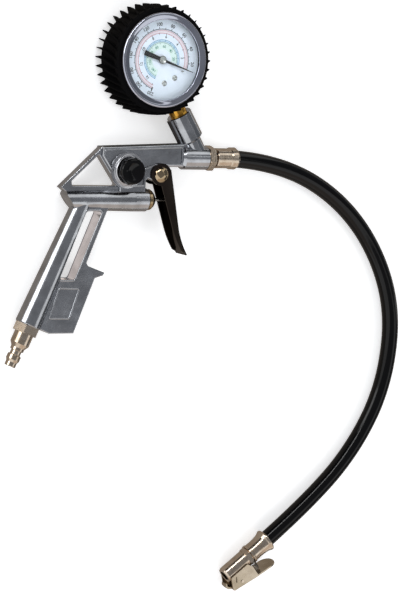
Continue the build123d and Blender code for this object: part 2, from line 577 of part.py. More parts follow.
# Case with the two screws that hold its floor to the socket block
case = disc(0, 0, BOOT_BACK, CASE_FRONT, CASE_R) - disc(0, 0, CASE_FLOOR, CASE_FRONT, CASE_IN)
case -= rod(on_stem(CASE_R - 5.0), STEM_DIR, 10.0, STEM_R + RUN)
block_plane = Plane(origin=on_stem(STEM_IN, CASE_FLOOR), x_dir=STEM_DIR, z_dir=UP)
case_screws = []
for side in (-5.0, 5.0):
    at = block_plane.from_local_coords(Vector(7.0, side, 0))
    case -= disc(at.X, at.Y, 0, CASE_FLOOR, CASE_SCREW_R + FIT)
    boot -= disc(at.X, at.Y, BOOT_BACK - 1.5, BOOT_BACK, 2 * CASE_SCREW_R + 2 * FIT)
    case_screws.append(disc(at.X, at.Y, BOOT_BACK, CASE_FLOOR + 4.7, CASE_SCREW_R)
                       + disc(at.X, at.Y, BOOT_BACK - 1.3, BOOT_BACK, 2 * CASE_SCREW_R))
pieces["case_screws"] = case_screws
pieces["gauge_boot"] = boot
pieces["gauge_case"] = case

# Bezel and lens
bezel_open = CASE_R - BEZEL_LAP
bezel = disc(0, 0, BEZEL_BACK, BEZEL_TOP, BEZEL_R) - turned((0, 0, BEZEL_BACK), UP, [
    (0, bezel_open), (LENS_TOP + 0.5 - BEZEL_BACK, bezel_open), (BEZEL_TOP - BEZEL_BACK, bezel_open + BEZEL_FLARE)])
inner_edge, outer_edge = bezel.edges().group_by(Axis.Z)[-1].sort_by(SortBy.RADIUS)
bezel = fillet(outer_edge, 1.9)
inner_edge = bezel.edges().group_by(Axis.Z)[-1].sort_by(SortBy.RADIUS)[0]
bezel = fillet(inner_edge, 0.7)
bezel -= disc(0, 0, BEZEL_BACK, LENS_TOP + FIT, CASE_R + SEAT)
pieces["bezel"] = bezel
pieces["lens"] = disc(0, 0, CASE_FRONT, LENS_TOP, CASE_R - LENS_SET)

# Dial with its two screws
dial = disc(0, 0, DIAL_BACK, DIAL_FACE, CASE_IN - DIAL_GAP) - disc(0, 0, DIAL_BACK, DIAL_FACE, SHAFT_R + 0.9)
screw_spots = [polar(DIAL_SCREW_AT, a) for a in DIAL_SCREW_ANGLES]
dial_screws = []
for x, y in screw_spots:
    dial -= disc(x, y, DIAL_BACK, DIAL_FACE, DIAL_SCREW_R + FIT)
    dial_screws.append(disc(x, y, DIAL_BACK - 5.0, DIAL_FACE, DIAL_SCREW_R)
                       + dome((x, y, DIAL_FACE), UP, 2 * DIAL_SCREW_R, 0.3, 0.9))
pieces["dial"] = dial
pieces["dial_screws"] = dial_screws

# Stem with the socket block and the dial's posts
block = block_plane * Box(TUBE_R + 4.4 - STEM_IN, 2 * BLOCK_HALF, BLOCK_H, align=(Align.MIN, Align.CENTER, Align.MIN))
socket = block + rod(on_stem(TUBE_R + 3.4), STEM_DIR, STEM_OUT - TUBE_R - 3.4, STEM_R)
for x, y in screw_spots:
    socket += disc(x, y, PLATE_LOW - 0.1, DIAL_BACK, 2 * DIAL_SCREW_R)
    socket -= disc(x, y, DIAL_BACK - 5.1, DIAL_BACK, DIAL_SCREW_R)
socket -= rod(on_stem(STEM_OUT), back(STEM_DIR), STEM_OUT - STEM_IN - 5.0, STEM_BORE)
for screw in case_screws:
    socket -= screw
pieces["stem_socket"] = socket

# Bourdon tube, a flattened tube round the movement, from the socket block to its closed end
tube_from, tube_to = STEM_LEAN - 90.0 + 11.7, STEM_LEAN - 90.0 + 259.7
arc = Pos(0, 0, PLATE_LOW - 4.6) * CenterArc((0, 0, 0), TUBE_R, tube_from, tube_to - tube_from)
tube_plane = Plane(origin=arc @ 0, x_dir=UP, z_dir=arc % 0)
tube = sweep(tube_plane * SlotOverall(TUBE_H, TUBE_W), path=arc)
tube -= sweep(tube_plane * SlotOverall(TUBE_H - 2 * TUBE_WALL, TUBE_W - 2 * TUBE_WALL), path=arc)
pieces["bourdon_tube"] = tube - block
lug_plane = Plane(origin=(*polar(TUBE_R, tube_to), PLATE_LOW - 9.0), x_dir=(*polar(1, tube_to), 0), z_dir=UP)
tip = lug_plane * Box(TUBE_W + 1.0, 5.0, 9.0, align=(Align.CENTER, Align.MIN, Align.MIN))
lug_line = [polar(TUBE_R + 1.8, tube_to + 2), polar(TUBE_R + 1.4, tube_to + 14), polar(TUBE_R - 2.2, tube_to + 14),
            polar(TUBE_R - 2.2, tube_to + 2)]
link_to = polar(TUBE_R - 0.4, tube_to + 10.0)
tip += slab(lug_line, PLATE_LOW - 1.6, PLATE_LOW)
pieces["tube_end"] = tip - disc(*link_to, 0, THROUGH, LINK_PIN_R)

# Movement plates on their pillars
gear_sum = MODULE * PINION_TEETH * (1 + RATIO) / 2 + GEAR_GAP
sector_pivot = polar(gear_sum, SECTOR_AT)
plate = rounded(slab([
    polar(16.5, SECTOR_AT + 102), polar(14.0, SECTOR_AT + 66), polar(gear_sum + 3.4, SECTOR_AT + 10),
    polar(gear_sum + 3.4, SECTOR_AT - 10), polar(12.0, SECTOR_AT - 66), polar(16.0, SECTOR_AT - 118),
    polar(9.0, SECTOR_AT + 180)], 0, PLATE_T), 1.5)
for x, y in ((0, 0), sector_pivot):
    plate -= disc(x, y, 0, PLATE_T, SHAFT_R + RUN)
pieces["movement_plate_low"] = Pos(0, 0, PLATE_LOW) * plate
pieces["movement_plate_high"] = Pos(0, 0, PLATE_HIGH) * plate
pillar_spots = [polar(12.5, SECTOR_AT + 100.0), polar(12.5, SECTOR_AT - 118.0)]
pieces["pillars"] = [disc(x, y, PLATE_LOW + PLATE_T, PLATE_HIGH, PILLAR_R) for x, y in pillar_spots]

# Pinion and sector in mesh, with the tail that the link pulls
gear_z = PLATE_LOW + PLATE_T + GEAR_RISE
pointer_z = DIAL_FACE + POINTER_RISE
pinion = slab(toothed(PINION_TEETH, range(PINION_TEETH), MODULE * 0.95, MODULE * 1.15), gear_z - 0.4, gear_z + GEAR_T + 0.4)
pinion = Rotation(0, 0, SECTOR_AT + 180.0 / PINION_TEETH - RATIO * SECTOR_SWING / 2) * pinion
pieces["pinion"] = pinion + disc(0, 0, PLATE_LOW - 0.6, pointer_z + POINTER_T + SHAFT_TOP, SHAFT_R)
sector_teeth = PINION_TEETH * RATIO
half_count = int(SECTOR_SWING / 2 / 360 * sector_teeth) + 4
sector_line = toothed(sector_teeth, range(-half_count, half_count + 1), MODULE * 0.8, MODULE * 1.25)
sector = slab([(2.0, -2.4)] + sector_line + [(2.0, 2.4)], 0, GEAR_T)
sector -= slab([(7.0, -2.2), (12.6, -4.6), (12.6, 4.6), (7.0, 2.2)], 0, GEAR_T)
sector += disc(0, 0, 0, GEAR_T, 3.4)
sector += slab([(0, -1.6), (0, 1.6), (-TAIL, 1.2), (-TAIL, -1.2)], 0, GEAR_T) + disc(-TAIL, 0, 0, GEAR_T, 1.6)
sector -= disc(-TAIL, 0, 0, GEAR_T, LINK_PIN_R + LINK_PLAY)
sector += disc(0, 0, PLATE_LOW - 0.6 - gear_z, PLATE_HIGH + PLATE_T + 0.6 - gear_z, SHAFT_R)
sector_turn = SECTOR_AT + 180.0 + SECTOR_SWING / 2
pieces["sector_gear"] = Location((*sector_pivot, gear_z), (0, 0, sector_turn)) * sector
print("sector pivot", sector_pivot)

# Link from the sector's tail to the tube's end
tail_x, tail_y = polar(TAIL, sector_turn + 180)
link_from = (sector_pivot[0] + tail_x, sector_pivot[1] + tail_y)
reach = hypot(link_to[0] - link_from[0], link_to[1] - link_from[1])
link_turn = degrees(atan2(link_to[1] - link_from[1], link_to[0] - link_from[0]))
link_z = gear_z - 2 * LINK_T
link = slab([(0, -0.8), (reach, -0.8), (reach, 0.8), (0, 0.8)], 0, LINK_T)
link += disc(0, 0, 0, LINK_T, 1.3) + disc(reach, 0, 0, LINK_T, 1.3)
link += disc(0, 0, 0, gear_z + GEAR_T + 0.2 - link_z, LINK_PIN_R) + disc(reach, 0, PLATE_LOW - 1.0 - link_z, 0, LINK_PIN_R)
pieces["link"] = Location((*link_from, link_z), (0, 0, link_turn)) * link

# Hairspring, a flat spiral between the gears and the high plate
spiral = [polar(2.9 + 3.7 * t / 64, 360 * HAIRSPRING_TURNS * t / 64) for t in range(65)]
spiral_line = Spline(*[(x, y, PLATE_HIGH - 1.3) for x, y in spiral])
strip = Plane(origin=spiral_line @ 0, z_dir=spiral_line % 0, x_dir=UP) * Rectangle(0.7, 0.12)
pieces["hairspring"] = sweep(strip, path=spiral_line)

# Pointer and its cap
pointer = slab([(POINTER_TIP, 0.15), (2.4, 1.0), (-2.0, 1.2), (-5.0, 1.5), (-POINTER_TAIL, 1.9), (-POINTER_TAIL, -1.9),
                (-5.0, -1.5), (-2.0, -1.2), (2.4, -1.0), (POINTER_TIP, -0.15)], 0, POINTER_T)
pointer += disc(0, 0, 0, POINTER_T, 3.0)
pointer -= disc(0, 0, 0, POINTER_T, SHAFT_R)
pieces["pointer"] = Location((0, 0, pointer_z), (0, 0, POINTER_ANGLE)) * pointer
cap = dome((0, 0, pointer_z + POINTER_T), UP, 2.7, 0.2, 0.7)
pieces["pointer_cap"] = cap - disc(0, 0, 0, pointer_z + POINTER_T + SHAFT_TOP, SHAFT_R)

# Hose fitting and the crimped ferrule behind it
hex_start = GUN_X + FRONT_X1
hex_end = hex_start + FITTING_HEX
ferrule_start = hex_end + FITTING_NECK
ferrule_end = ferrule_start + FERRULE_LEN
fitting = hexagon((hex_start, FRONT_Y, Z_MID), (1, 0, 0), FITTING_HEX, FITTING_FLATS, 15.0)
fitting += rod_x(hex_start - PLUG_SCREW, hex_start, FRONT_Y, Z_MID, FITTING_THREAD)
fitting += rod_x(hex_end, ferrule_start, FRONT_Y, Z_MID, 5.6)
fitting += rod_x(hex_end, ferrule_end - 3.0, FRONT_Y, Z_MID, HOSE_BORE)
fitting -= rod_x(hex_start - PLUG_SCREW, ferrule_end, FRONT_Y, Z_MID, AIR_R)
pieces["hose_fitting"] = fitting
sleeve = HOSE_R + FERRULE_WALL
ferrule = turned((ferrule_start, FRONT_Y, Z_MID), (1, 0, 0), [
    (0, sleeve - 0.4), (0.5, sleeve), (FERRULE_LEN - 6.6, sleeve), (FERRULE_LEN - 5.6, sleeve + 0.7),
    (FERRULE_LEN - 1.4, sleeve + 0.8), (FERRULE_LEN - 0.4, sleeve), (FERRULE_LEN, sleeve - 0.2)])
pieces["front_ferrule"] = ferrule - rod_x(ferrule_start, ferrule_end, FRONT_Y, Z_MID, HOSE_R)

# Hose, along straight runs joined by tangent arcs
route = [(ferrule_end - HOSE_IN, FRONT_Y, Z_MID), (*on_gun(112.6, 0), Z_MID), (189.6, -109.6, HOSE_Z),
         (233.6, -177.0, HOSE_Z), (233.2, -248.0, HOSE_Z), (204.2, -305.2, HOSE_Z), on_chuck(-36.0), on_chuck(HOSE_IN)]
radii = []
for a, b, c in zip(route, route[1:], route[2:]):
    p, q = Vector(*b) - Vector(*a), Vector(*c) - Vector(*b)
    radii.append(0.45 * min(p.length, q.length) / tan(radians(p.get_angle(q) / 2)))
print("hose radii", [round(r, 1) for r in radii])
hose_line = FilletPolyline(*route, radius=radii)
hose = sweep(Plane(origin=hose_line @ 0, z_dir=hose_line % 0) * (Circle(HOSE_R) - Circle(HOSE_BORE)), path=hose_line)
print("hose", hose_line.length, hose.volume / (pi * (HOSE_R ** 2 - HOSE_BORE ** 2) * hose_line.length))
pieces["hose"] = hose

# Chuck: rear ferrule with a bell mouth
bell = HOSE_R + BELL_WALL
crimp = HOSE_R + 0.8
ferrule = turned(on_chuck(0.0), CHUCK_DIR, [
    (0, bell - 0.2), (0.8, bell), (2.6, bell - 0.7), (5.6, crimp + 0.4), (9.0, crimp), (CRIMP_LEN, crimp)], smooth=True)
ferrule -= turned(on_chuck(-0.1), CHUCK_DIR, [(0, bell - 0.8), (2.2, bell - 1.6), (5.0, HOSE_R)])
pieces["chuck_ferrule"] = ferrule - rod(on_chuck(0.0), CHUCK_DIR, CRIMP_LEN, HOSE_R)

# Chuck: body with its ring, flats, lug, barb and nose
bore_top = CHUCK_LEN - NOSE_DEPTH
seal_top = bore_top - 0.1 - CHUCK_SEAL_T
pin_along, pin_side = CHUCK_LEN - LEVER_BACK, CHUCK_R + LEVER_OUT
chuck = turned(on_chuck(CRIMP_LEN), CHUCK_DIR, [
    (0, CHUCK_R + 0.6), (0.4, CHUCK_R + 1.2), (2.2, CHUCK_R + 1.2), (2.6, CHUCK_R - 0.2), (3.2, CHUCK_R - 0.2)])
chuck += hexagon(on_chuck(CRIMP_LEN + 3.0), CHUCK_DIR, 3.4, 2 * CHUCK_R + 0.3, 9.0)
chuck += turned(on_chuck(CRIMP_LEN + 6.0), CHUCK_DIR, [
    (0, CHUCK_R), (CHUCK_LEN - CRIMP_LEN - 7.4, CHUCK_R), (CHUCK_LEN - CRIMP_LEN - 6.0, CHUCK_R - 0.7)])
lug_base = CHUCK_R - 1.1
lug = slab([on_chuck(pin_along + s, n)[:2] for s, n in (
    (-3.4, lug_base), (3.4, lug_base), (2.4, pin_side + 0.9), (1.0, pin_side + 2.1), (-1.0, pin_side + 2.1),
    (-2.4, pin_side + 0.9))], CHUCK_Z - 4.0, CHUCK_Z + 4.0)
chuck += lug + rod(on_chuck(4.0), CHUCK_DIR, CRIMP_LEN, HOSE_BORE)
chuck -= rod(on_chuck(0.0), CHUCK_DIR, CHUCK_LEN, CHUCK_AIR_R)
chuck -= rod(on_chuck(bore_top - 0.5), CHUCK_DIR, NOSE_DEPTH + 1, NOSE_R)
chuck -= rod(on_chuck(seal_top - 1.1), CHUCK_DIR, CHUCK_SEAL_T + 1.2, NOSE_R + 0.9)
chuck -= disc(*on_chuck(pin_along, pin_side)[:2], 0, THROUGH, LEVER_PIN_R)
chuck -= rod(on_chuck(CRIMP_LEN + 1.3, 0, CHUCK_Z + CHUCK_R + 0.4), UP, 2.0, 0.9)
pieces["chuck_body"] = chuck

# Chuck: seal and opener
seal = rod(on_chuck(seal_top), CHUCK_DIR, CHUCK_SEAL_T, NOSE_R + 0.8) - rod(on_chuck(seal_top), CHUCK_DIR, CHUCK_SEAL_T, 2.6)
pieces["chuck_seal"] = seal
opener = rod(on_chuck(seal_top - OPENER_T), CHUCK_DIR, OPENER_T, NOSE_R + 0.7)
opener += rod(on_chuck(seal_top), CHUCK_DIR, CHUCK_SEAL_T - 0.4, 1.0)
for angle in (0, 120, 240):
    opener -= Plane(origin=on_chuck(seal_top - OPENER_T), z_dir=CHUCK_DIR) * Pos(*polar(3.0, angle)) * Cylinder(0.8, 6.0)
pieces["chuck_opener"] = opener


def lever_plate(points, half_low, half_high):
    """A plate in the chuck's (along, side) coordinates, with its two heights from the chuck's mid-plane."""
    return slab([on_chuck(s, n)[:2] for s, n in points], CHUCK_Z + half_low, CHUCK_Z + half_high)


# Chuck lever: two cheeks, a back that runs out to the spoon, and the claw over the nose
cheek = [(CHUCK_LEN - 21.2, 5.6), (CHUCK_LEN - 18.4, 0.8), (CHUCK_LEN - 1.2, 0.8), (CHUCK_LEN + 2.2, pin_side + 0.9),
         (CHUCK_LEN + 1.4, pin_side + 2.1), (CHUCK_LEN - 21.6, pin_side + 6.3)]
lever = lever_plate(cheek, -LEVER_HALF, LEVER_SHEET - LEVER_HALF)
lever += lever_plate(cheek, LEVER_HALF - LEVER_SHEET, LEVER_HALF)
lever_back = [(CHUCK_LEN + 1.4, pin_side + 2.1), (CHUCK_LEN - 20.6, pin_side + 6.1), (12.0, 17.0), (5.0, 18.4),
              (0.8, 20.0), (0.4, 19.0), (4.8, 17.2), (12.0, 15.8), (CHUCK_LEN - 20.6, pin_side + 4.9),
              (CHUCK_LEN + 1.0, pin_side + 0.9)]
spoon = lever_plate(lever_back, -LEVER_HALF, LEVER_HALF)
spoon_round = rod(on_chuck(12.0, 0), CHUCK_SIDE, THROUGH, LEVER_HALF) + Plane(
    origin=on_chuck(12.0, 0), x_dir=CHUCK_DIR, z_dir=CHUCK_SIDE) * Box(
    THROUGH, 2 * LEVER_HALF, THROUGH, align=(Align.MIN, Align.CENTER, Align.MIN))
lever += spoon & spoon_round
claw = [(0.4, pin_side + 1.1), (1.4, pin_side + 2.1), (4.0, pin_side + 0.3), (4.6, 6.4), (3.4, 4.5), (2.4, 5.2),
        (3.0, 6.8), (2.4, 8.6)]
lever += lever_plate([(CHUCK_LEN + s, n) for s, n in claw], -3.2, 3.2)
lever -= disc(*on_chuck(pin_along, pin_side)[:2], 0, THROUGH, LEVER_PIN_R + RUN)
lever -= lever_plate([(CHUCK_LEN + s, n) for s, n in ((-5.6, 3.0), (-4.9, 2.7), (-2.9, 6.7), (-3.6, 7.0))],
                     LEVER_HALF - LEVER_SHEET, LEVER_HALF)
pieces["chuck_lever"] = lever
pieces["chuck_pin"] = disc(*on_chuck(pin_along, pin_side)[:2], CHUCK_Z - LEVER_HALF - LEVER_PIN_HEAD,
                           CHUCK_Z + LEVER_HALF + LEVER_PIN_HEAD, LEVER_PIN_R)
spring_base = CHUCK_R + 1.25
pieces["chuck_spring"] = coil(on_chuck(CRIMP_LEN + 3.2, spring_base), CHUCK_SIDE, pin_side + 5.25 - spring_base, 2.6, 0.7, 4)

for name, piece in pieces.items():
    solids = [s for p in (piece if isinstance(piece, list) else [piece]) for s in p.solids()]
    print(name, len(solids), round(sum(s.volume for s in solids), 1))
    shape = solids[0] if len(solids) == 1 else Compound(children=list(solids))
    export_step(shape, f"parts/{name}.step")
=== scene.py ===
# %% [markdown]
# # A tire inflator with a dial gauge
# The object is a cast pistol-grip air gun that lies on its side. A booted pressure gauge stands on its top,
# a sheet-metal trigger opens its valve, and a short rubber hose runs to a clip-on chuck.
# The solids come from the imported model. This lesson winds the springs, lays the hose as one smooth curve,
# gives every piece its finish, adds the fine relief of the casting, prints the dial, spins the bezel, and
# sets up the floor, the lamps and the camera.

import bmesh
import bpy
import numpy as np
from mathutils import Matrix, Vector


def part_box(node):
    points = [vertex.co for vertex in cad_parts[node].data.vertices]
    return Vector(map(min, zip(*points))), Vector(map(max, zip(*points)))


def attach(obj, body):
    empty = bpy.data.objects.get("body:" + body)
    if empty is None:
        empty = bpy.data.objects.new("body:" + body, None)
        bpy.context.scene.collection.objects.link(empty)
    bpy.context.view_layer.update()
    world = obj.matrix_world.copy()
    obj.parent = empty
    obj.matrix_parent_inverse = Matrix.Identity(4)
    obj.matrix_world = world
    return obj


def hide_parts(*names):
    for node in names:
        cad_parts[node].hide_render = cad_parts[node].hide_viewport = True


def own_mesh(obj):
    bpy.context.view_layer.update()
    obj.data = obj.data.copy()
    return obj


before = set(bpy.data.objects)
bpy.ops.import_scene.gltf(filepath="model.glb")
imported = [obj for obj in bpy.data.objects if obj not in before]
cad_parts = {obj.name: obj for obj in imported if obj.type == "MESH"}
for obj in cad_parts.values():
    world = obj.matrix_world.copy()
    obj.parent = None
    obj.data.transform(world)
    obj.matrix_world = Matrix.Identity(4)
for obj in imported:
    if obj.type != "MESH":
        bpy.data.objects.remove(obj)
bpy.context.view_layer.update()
MM = 0.001

# %% [markdown]
# ## Camera
# The gauge, the gun and the chuck were lined up with the photograph to find where the camera stood: high
# over the object, a little to the left of the grip, with a long lens. Its three axes are written as
# directions, because together they also hold the slight turn of the picture.

# %% Place the camera
CAMERA_AT = Vector((-0.629894, 0.013609, 1.163033))
CAMERA_RIGHT = Vector((0.863270, 0.051827, 0.502074))
CAMERA_BACK = Vector((-0.504087, 0.139173, 0.852365))
FOCAL_PIXELS, LONG_SIDE, SENSOR = 1800.0, 592.0, 36.0

camera_data = bpy.data.cameras.new("camera")
camera_data.sensor_width = SENSOR
camera_data.lens = FOCAL_PIXELS / LONG_SIDE * SENSOR
camera = bpy.data.objects.new("camera", camera_data)
bpy.context.collection.objects.link(camera)
camera_up = CAMERA_BACK.cross(CAMERA_RIGHT).normalized()
turn = Matrix((CAMERA_RIGHT, camera_up, CAMERA_BACK)).transposed().to_4x4()
camera.matrix_world = Matrix.Translation(CAMERA_AT) @ turn
bpy.context.scene.camera = camera
print("lens", round(camera_data.lens, 1), "mm")

# %% [markdown]
# ## Node helpers
# Every material below is a small node tree. One function adds a node, sets its values and links its inputs,
# and one turns a colour written as on a paint card into the linear numbers that the shader works with.
# Patterns are given in real millimetres, and lie in Object coordinates, so that they keep their size on
# every piece.

# %% Colours and nodes
def linear(code):
    """A hex colour as linear RGBA: c / 12.92 for a channel c up to 0.04045, or ((c + 0.055) / 1.055)^2.4."""
    value = np.array([int(code[i:i + 2], 16) for i in (1, 3, 5)]) / 255
    flat = np.where(value <= 0.04045, value / 12.92, ((value + 0.055) / 1.055) ** 2.4)
    return (*map(float, flat), 1.0)


def add(tree, kind, links=None, **settings):
    """A node of this kind, with its settings and input values, and links given as {input: output}."""
    node = tree.nodes.new(kind)
    for name, value in settings.items():
        if hasattr(node, name):
            setattr(node, name, value)
        else:
            node.inputs[name.replace("_", " ")].default_value = value
    for name, output in (links or {}).items():
        tree.links.new(output, node.inputs[name])
    return node


def material(name, colour, metallic, roughness, **more):
    """A new material whose constants are set on the shader's own sockets, with its tree and its shader."""
    made = bpy.data.materials.new(name)
    made.use_nodes = True
    shader = made.node_tree.nodes["Principled BSDF"]
    shader.inputs["Base Color"].default_value = linear(colour)
    shader.inputs["Metallic"].default_value = metallic
    shader.inputs["Roughness"].default_value = roughness
    for label, value in more.items():
        shader.inputs[label.replace("_", " ")].default_value = value
    return made, made.node_tree, shader


def per_mm(size):
    """The texture scale at which one feature of a pattern is this many millimetres."""
    return 1.0 / (size * MM)


def wave_scale(half):
    """The wave texture's scale at which a groove and the ridge beside it are this many millimetres apart."""
    return per_mm(half) / 20 * np.pi


def spread(tree, source, low, high):
    """The source, stretched to a range from low to high. Noise lies mostly between 0.3 and 0.7."""
    return add(tree, "ShaderNodeMapRange", {"Value": source}, From_Min=0.3, From_Max=0.7, To_Min=low,
               To_Max=high).outputs[0]


def mottle(tree, place, size, detail=3.0):
    """Cloudy noise with patches of this many millimetres."""
    return add(tree, "ShaderNodeTexNoise", {"Vector": place}, Scale=per_mm(size), Detail=detail).outputs[0]


def two_tones(tree, shader, factor, colour, other):
    """The base colour, which goes from one colour to another with the factor."""
    mix = add(tree, "ShaderNodeMix", {"Factor": factor}, data_type="RGBA")
    mix.inputs[6].default_value = linear(colour)
    mix.inputs[7].default_value = linear(other)
    tree.links.new(mix.outputs[2], shader.inputs["Base Color"])


def bump(tree, shader, height, depth):
    """The height as relief, this many millimetres deep."""
    node = add(tree, "ShaderNodeBump", {"Height": height}, Distance=depth * MM, Strength=1.0)
    tree.links.new(node.outputs[0], shader.inputs["Normal"])


def dress(made, *nodes):
    """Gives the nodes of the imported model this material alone."""
    for name in nodes:
        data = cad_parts[name].data
        data.materials.clear()
        data.materials.append(made)


print("black, grey and white:", [round(linear(c)[0], 3) for c in ("#000000", "#808080", "#FFFFFF")])

# %% [markdown]
# ## Surfaces from grids
# Every new surface here is a grid of points that a formula gives, with quads between them. A tube closes on
# itself in one direction and a ring in both, so one function numbers the quads for all of them.

# %% Meshes and grids
def new_object(name, data):
    """An object with this data. It stays at the origin, because its place is in its points."""
    made = bpy.data.objects.new(name, data)
    bpy.context.collection.objects.link(made)
    return made


def new_mesh(name, points, faces):
    """A mesh from an array of points in metres and a list of faces."""
    mesh = bpy.data.meshes.new(name)
    mesh.from_pydata(points.tolist(), [], faces)
    return mesh


def grid_faces(rows, cols, round_rows=False, round_cols=False):
    """Quads on a rows by cols grid of points, numbered row after row. Each direction may close on itself."""
    row, col = np.mgrid[0:rows - (not round_rows), 0:cols - (not round_cols)]
    next_row, next_col = (row + 1) % rows, (col + 1) % cols
    corners = [row * cols + col, row * cols + next_col, next_row * cols + next_col, next_row * cols + col]
    return np.stack(corners, -1).reshape(-1, 4)


def unit(vectors):
    """The vectors at length one."""
    return vectors / np.linalg.norm(vectors, axis=-1, keepdims=True)


print("quads of a 3 by 4 grid:", len(grid_faces(3, 4)), "as a tube:", len(grid_faces(3, 4, round_cols=True)))

# %% [markdown]
# ## Springs
# Three wire springs push the valve, the button and the chuck's lever back. A spring is wound on a mandrel
# from drawn wire, so its centreline is a helix. Each one is wound here again as a tube along that helix, in
# place of the imported spring.

# %% Wind the springs
TURN_STEPS, WIRE_STEPS = 24, 12


def wound(name, node, foot, way, length, radius, wire, turns):
    """A wire of width w on a helix: c(t) = foot + z(t) n + R (cos t u + sin t v), and round it the point
    c + w / 2 (cos a e + sin a f), where e points away from the axis and f is square to e and to the helix."""
    way = unit(np.asarray(way, float))
    u = unit(np.cross(way, (0, 0, 1) if abs(way[2]) < 0.9 else (1, 0, 0)))
    v = np.cross(way, u)
    t = np.linspace(0, 2 * np.pi * turns, TURN_STEPS * turns + 1)[:, None]
    a = np.linspace(0, 2 * np.pi, WIRE_STEPS, endpoint=False)[None, :, None]
    out = np.cos(t) * u + np.sin(t) * v
    climb = (length - 2 * wire) / t[-1]
    centre = np.asarray(foot) + (wire + climb * t) * way + radius * out
    side = np.cross(unit(radius * (np.cos(t) * v - np.sin(t) * u) + climb * way), out)
    skin = centre[:, None] + wire / 2 * (np.cos(a) * out[:, None] + np.sin(a) * side[:, None])
    rows, cols = skin.shape[:2]
    ends = [list(range(cols))[::-1], list(range((rows - 1) * cols, rows * cols))]
    mesh = new_mesh(name, skin.reshape(-1, 3) * MM, grid_faces(rows, cols, round_cols=True).tolist() + ends)
    mesh.shade_smooth()
    mesh.set_sharp_from_angle(angle=np.radians(60))
    piece = new_object(name, mesh)
    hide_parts(node)
    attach(piece, "gun")
    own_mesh(piece)
    solid = bmesh.new()
    solid.from_mesh(mesh)
    print(name, "holds", round(solid.calc_volume(signed=True) / MM ** 3, 1), "cubic mm of wire")
    solid.free()
    return piece


valve_axis = [(a + b) / 2 / MM for a, b in zip(*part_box("valve_spring"))]
button_axis = [(a + b) / 2 / MM for a, b in zip(*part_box("bleed_button"))]
valve_foot = (-30.0, valve_axis[1], valve_axis[2])
button_foot = (button_axis[0], button_axis[1], 16.0)
chuck_foot, chuck_side = (112.7047, -388.2543, 9.5), (0.573576, -0.819152, 0)
# Each with its length, radius, wire and turns
springs = [
    wound("valve_coil", "valve_spring", valve_foot, (1, 0, 0), 19.0, 3.4, 0.9, 6),
    wound("button_coil", "bleed_spring", button_foot, (0, 0, 1), 6.2, 3.2, 0.6, 4),
    wound("chuck_coil", "chuck_spring", chuck_foot, chuck_side, 6.6, 2.6, 0.7, 4)]

# %% [markdown]
# ## Hose
# The real hose is an extruded rubber tube, 13 mm across, that springs out of the front ferrule, bows to the
# right and comes back to the chuck. A curve with a round bevel is the plain way to make such a tube. A
# NURBS spline of order three keeps the bow smooth between a few given points, where straight runs would
# show corners.

# %% Lay the hose
HOSE_RADIUS = 6.5 * MM
muzzle_y = (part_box("front_ferrule")[0][1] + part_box("front_ferrule")[1][1]) / 2
mouth = np.array((124.2, -370.5, 9.5)) * MM
chuck_angle = np.radians(35.0)
chuck_way = np.array((-np.cos(chuck_angle), -np.sin(chuck_angle), 0))
hose_route = np.array([
    (59.0, muzzle_y / MM, 12.0), (112.6, muzzle_y / MM, 12.0), (189.6, -109.6, 6.7), (233.6, -177.0, 6.7),
    (233.2, -248.0, 6.7), (204.2, -305.2, 6.7)]) * MM
# Straight into the chuck: one point before its mouth, and one inside
hose_route = np.vstack([hose_route, mouth - chuck_way * 36 * MM, mouth + chuck_way * 16 * MM])

hose_line = bpy.data.curves.new("rubber_hose", "CURVE")
hose_line.dimensions = "3D"
spline = hose_line.splines.new("NURBS")
spline.points.add(len(hose_route) - 1)
spline.points.foreach_set("co", np.c_[hose_route, np.ones(len(hose_route))].ravel())
# The bevel is a circle of radius one, and each point's radius scales it to the hose
spline.points.foreach_set("radius", np.full(len(hose_route), HOSE_RADIUS))
spline.order_u = 3
spline.use_endpoint_u = True
spline.resolution_u = 24
hose_line.bevel_depth = 1.0
hose_line.bevel_resolution = 8
hose_line.use_fill_caps = True
hose = new_object("rubber_hose", hose_line)
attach(hose, "gun")
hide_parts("hose")
print("hose with", len(hose_route), "points")

# %% [markdown]
# ### Hose rubber
# The hose is extruded from a smooth die, so it is glossy, almost black, and shows one thin bright line
# along its bow. Its skin still has shallow swells a few millimetres long, which break that line up a
# little.

# %% Hose material
# Black with a sharp line of light
hose_rubber, tree, shader = material("extruded_rubber_glossy", "#020203", 0.0, 0.15, IOR=1.52,
                                     Specular_IOR_Level=0.28)
place = add(tree, "ShaderNodeTexCoord").outputs["Object"]
swell = mottle(tree, place, 5.0, 2.0)
tree.links.new(spread(tree, swell, 0.09, 0.16), shader.inputs["Roughness"])
bump(tree, shader, swell, 0.02)
hose_line.materials.append(hose_rubber)
print(hose_rubber.name, "with", len(tree.nodes), "nodes")

# %% [markdown]
# ## Cast metal
# The gun is die-cast aluminium that was tumbled and then buffed, but not ground flat. Reflections wander
# over it in streaks, since the skin keeps the low waves of the casting, and buffing left some patches
# duller than others.

# %% Cast aluminium
def buffed(name, colour, shine, dull, wave, depth, tint):
    """Metal polished over an uneven skin: patches of two roughnesses and two tints, over waves of a size."""
    made, tree, shader = material(name, colour, 1.0, shine)
    place = add(tree, "ShaderNodeTexCoord").outputs["Object"]
    tree.links.new(spread(tree, mottle(tree, place, wave * 2.5), shine, dull), shader.inputs["Roughness"])
    two_tones(tree, shader, spread(tree, mottle(tree, place, wave * 4), 0.0, 1.0), colour, tint)
    bump(tree, shader, mottle(tree, place, wave, 2.0), depth)
    return made


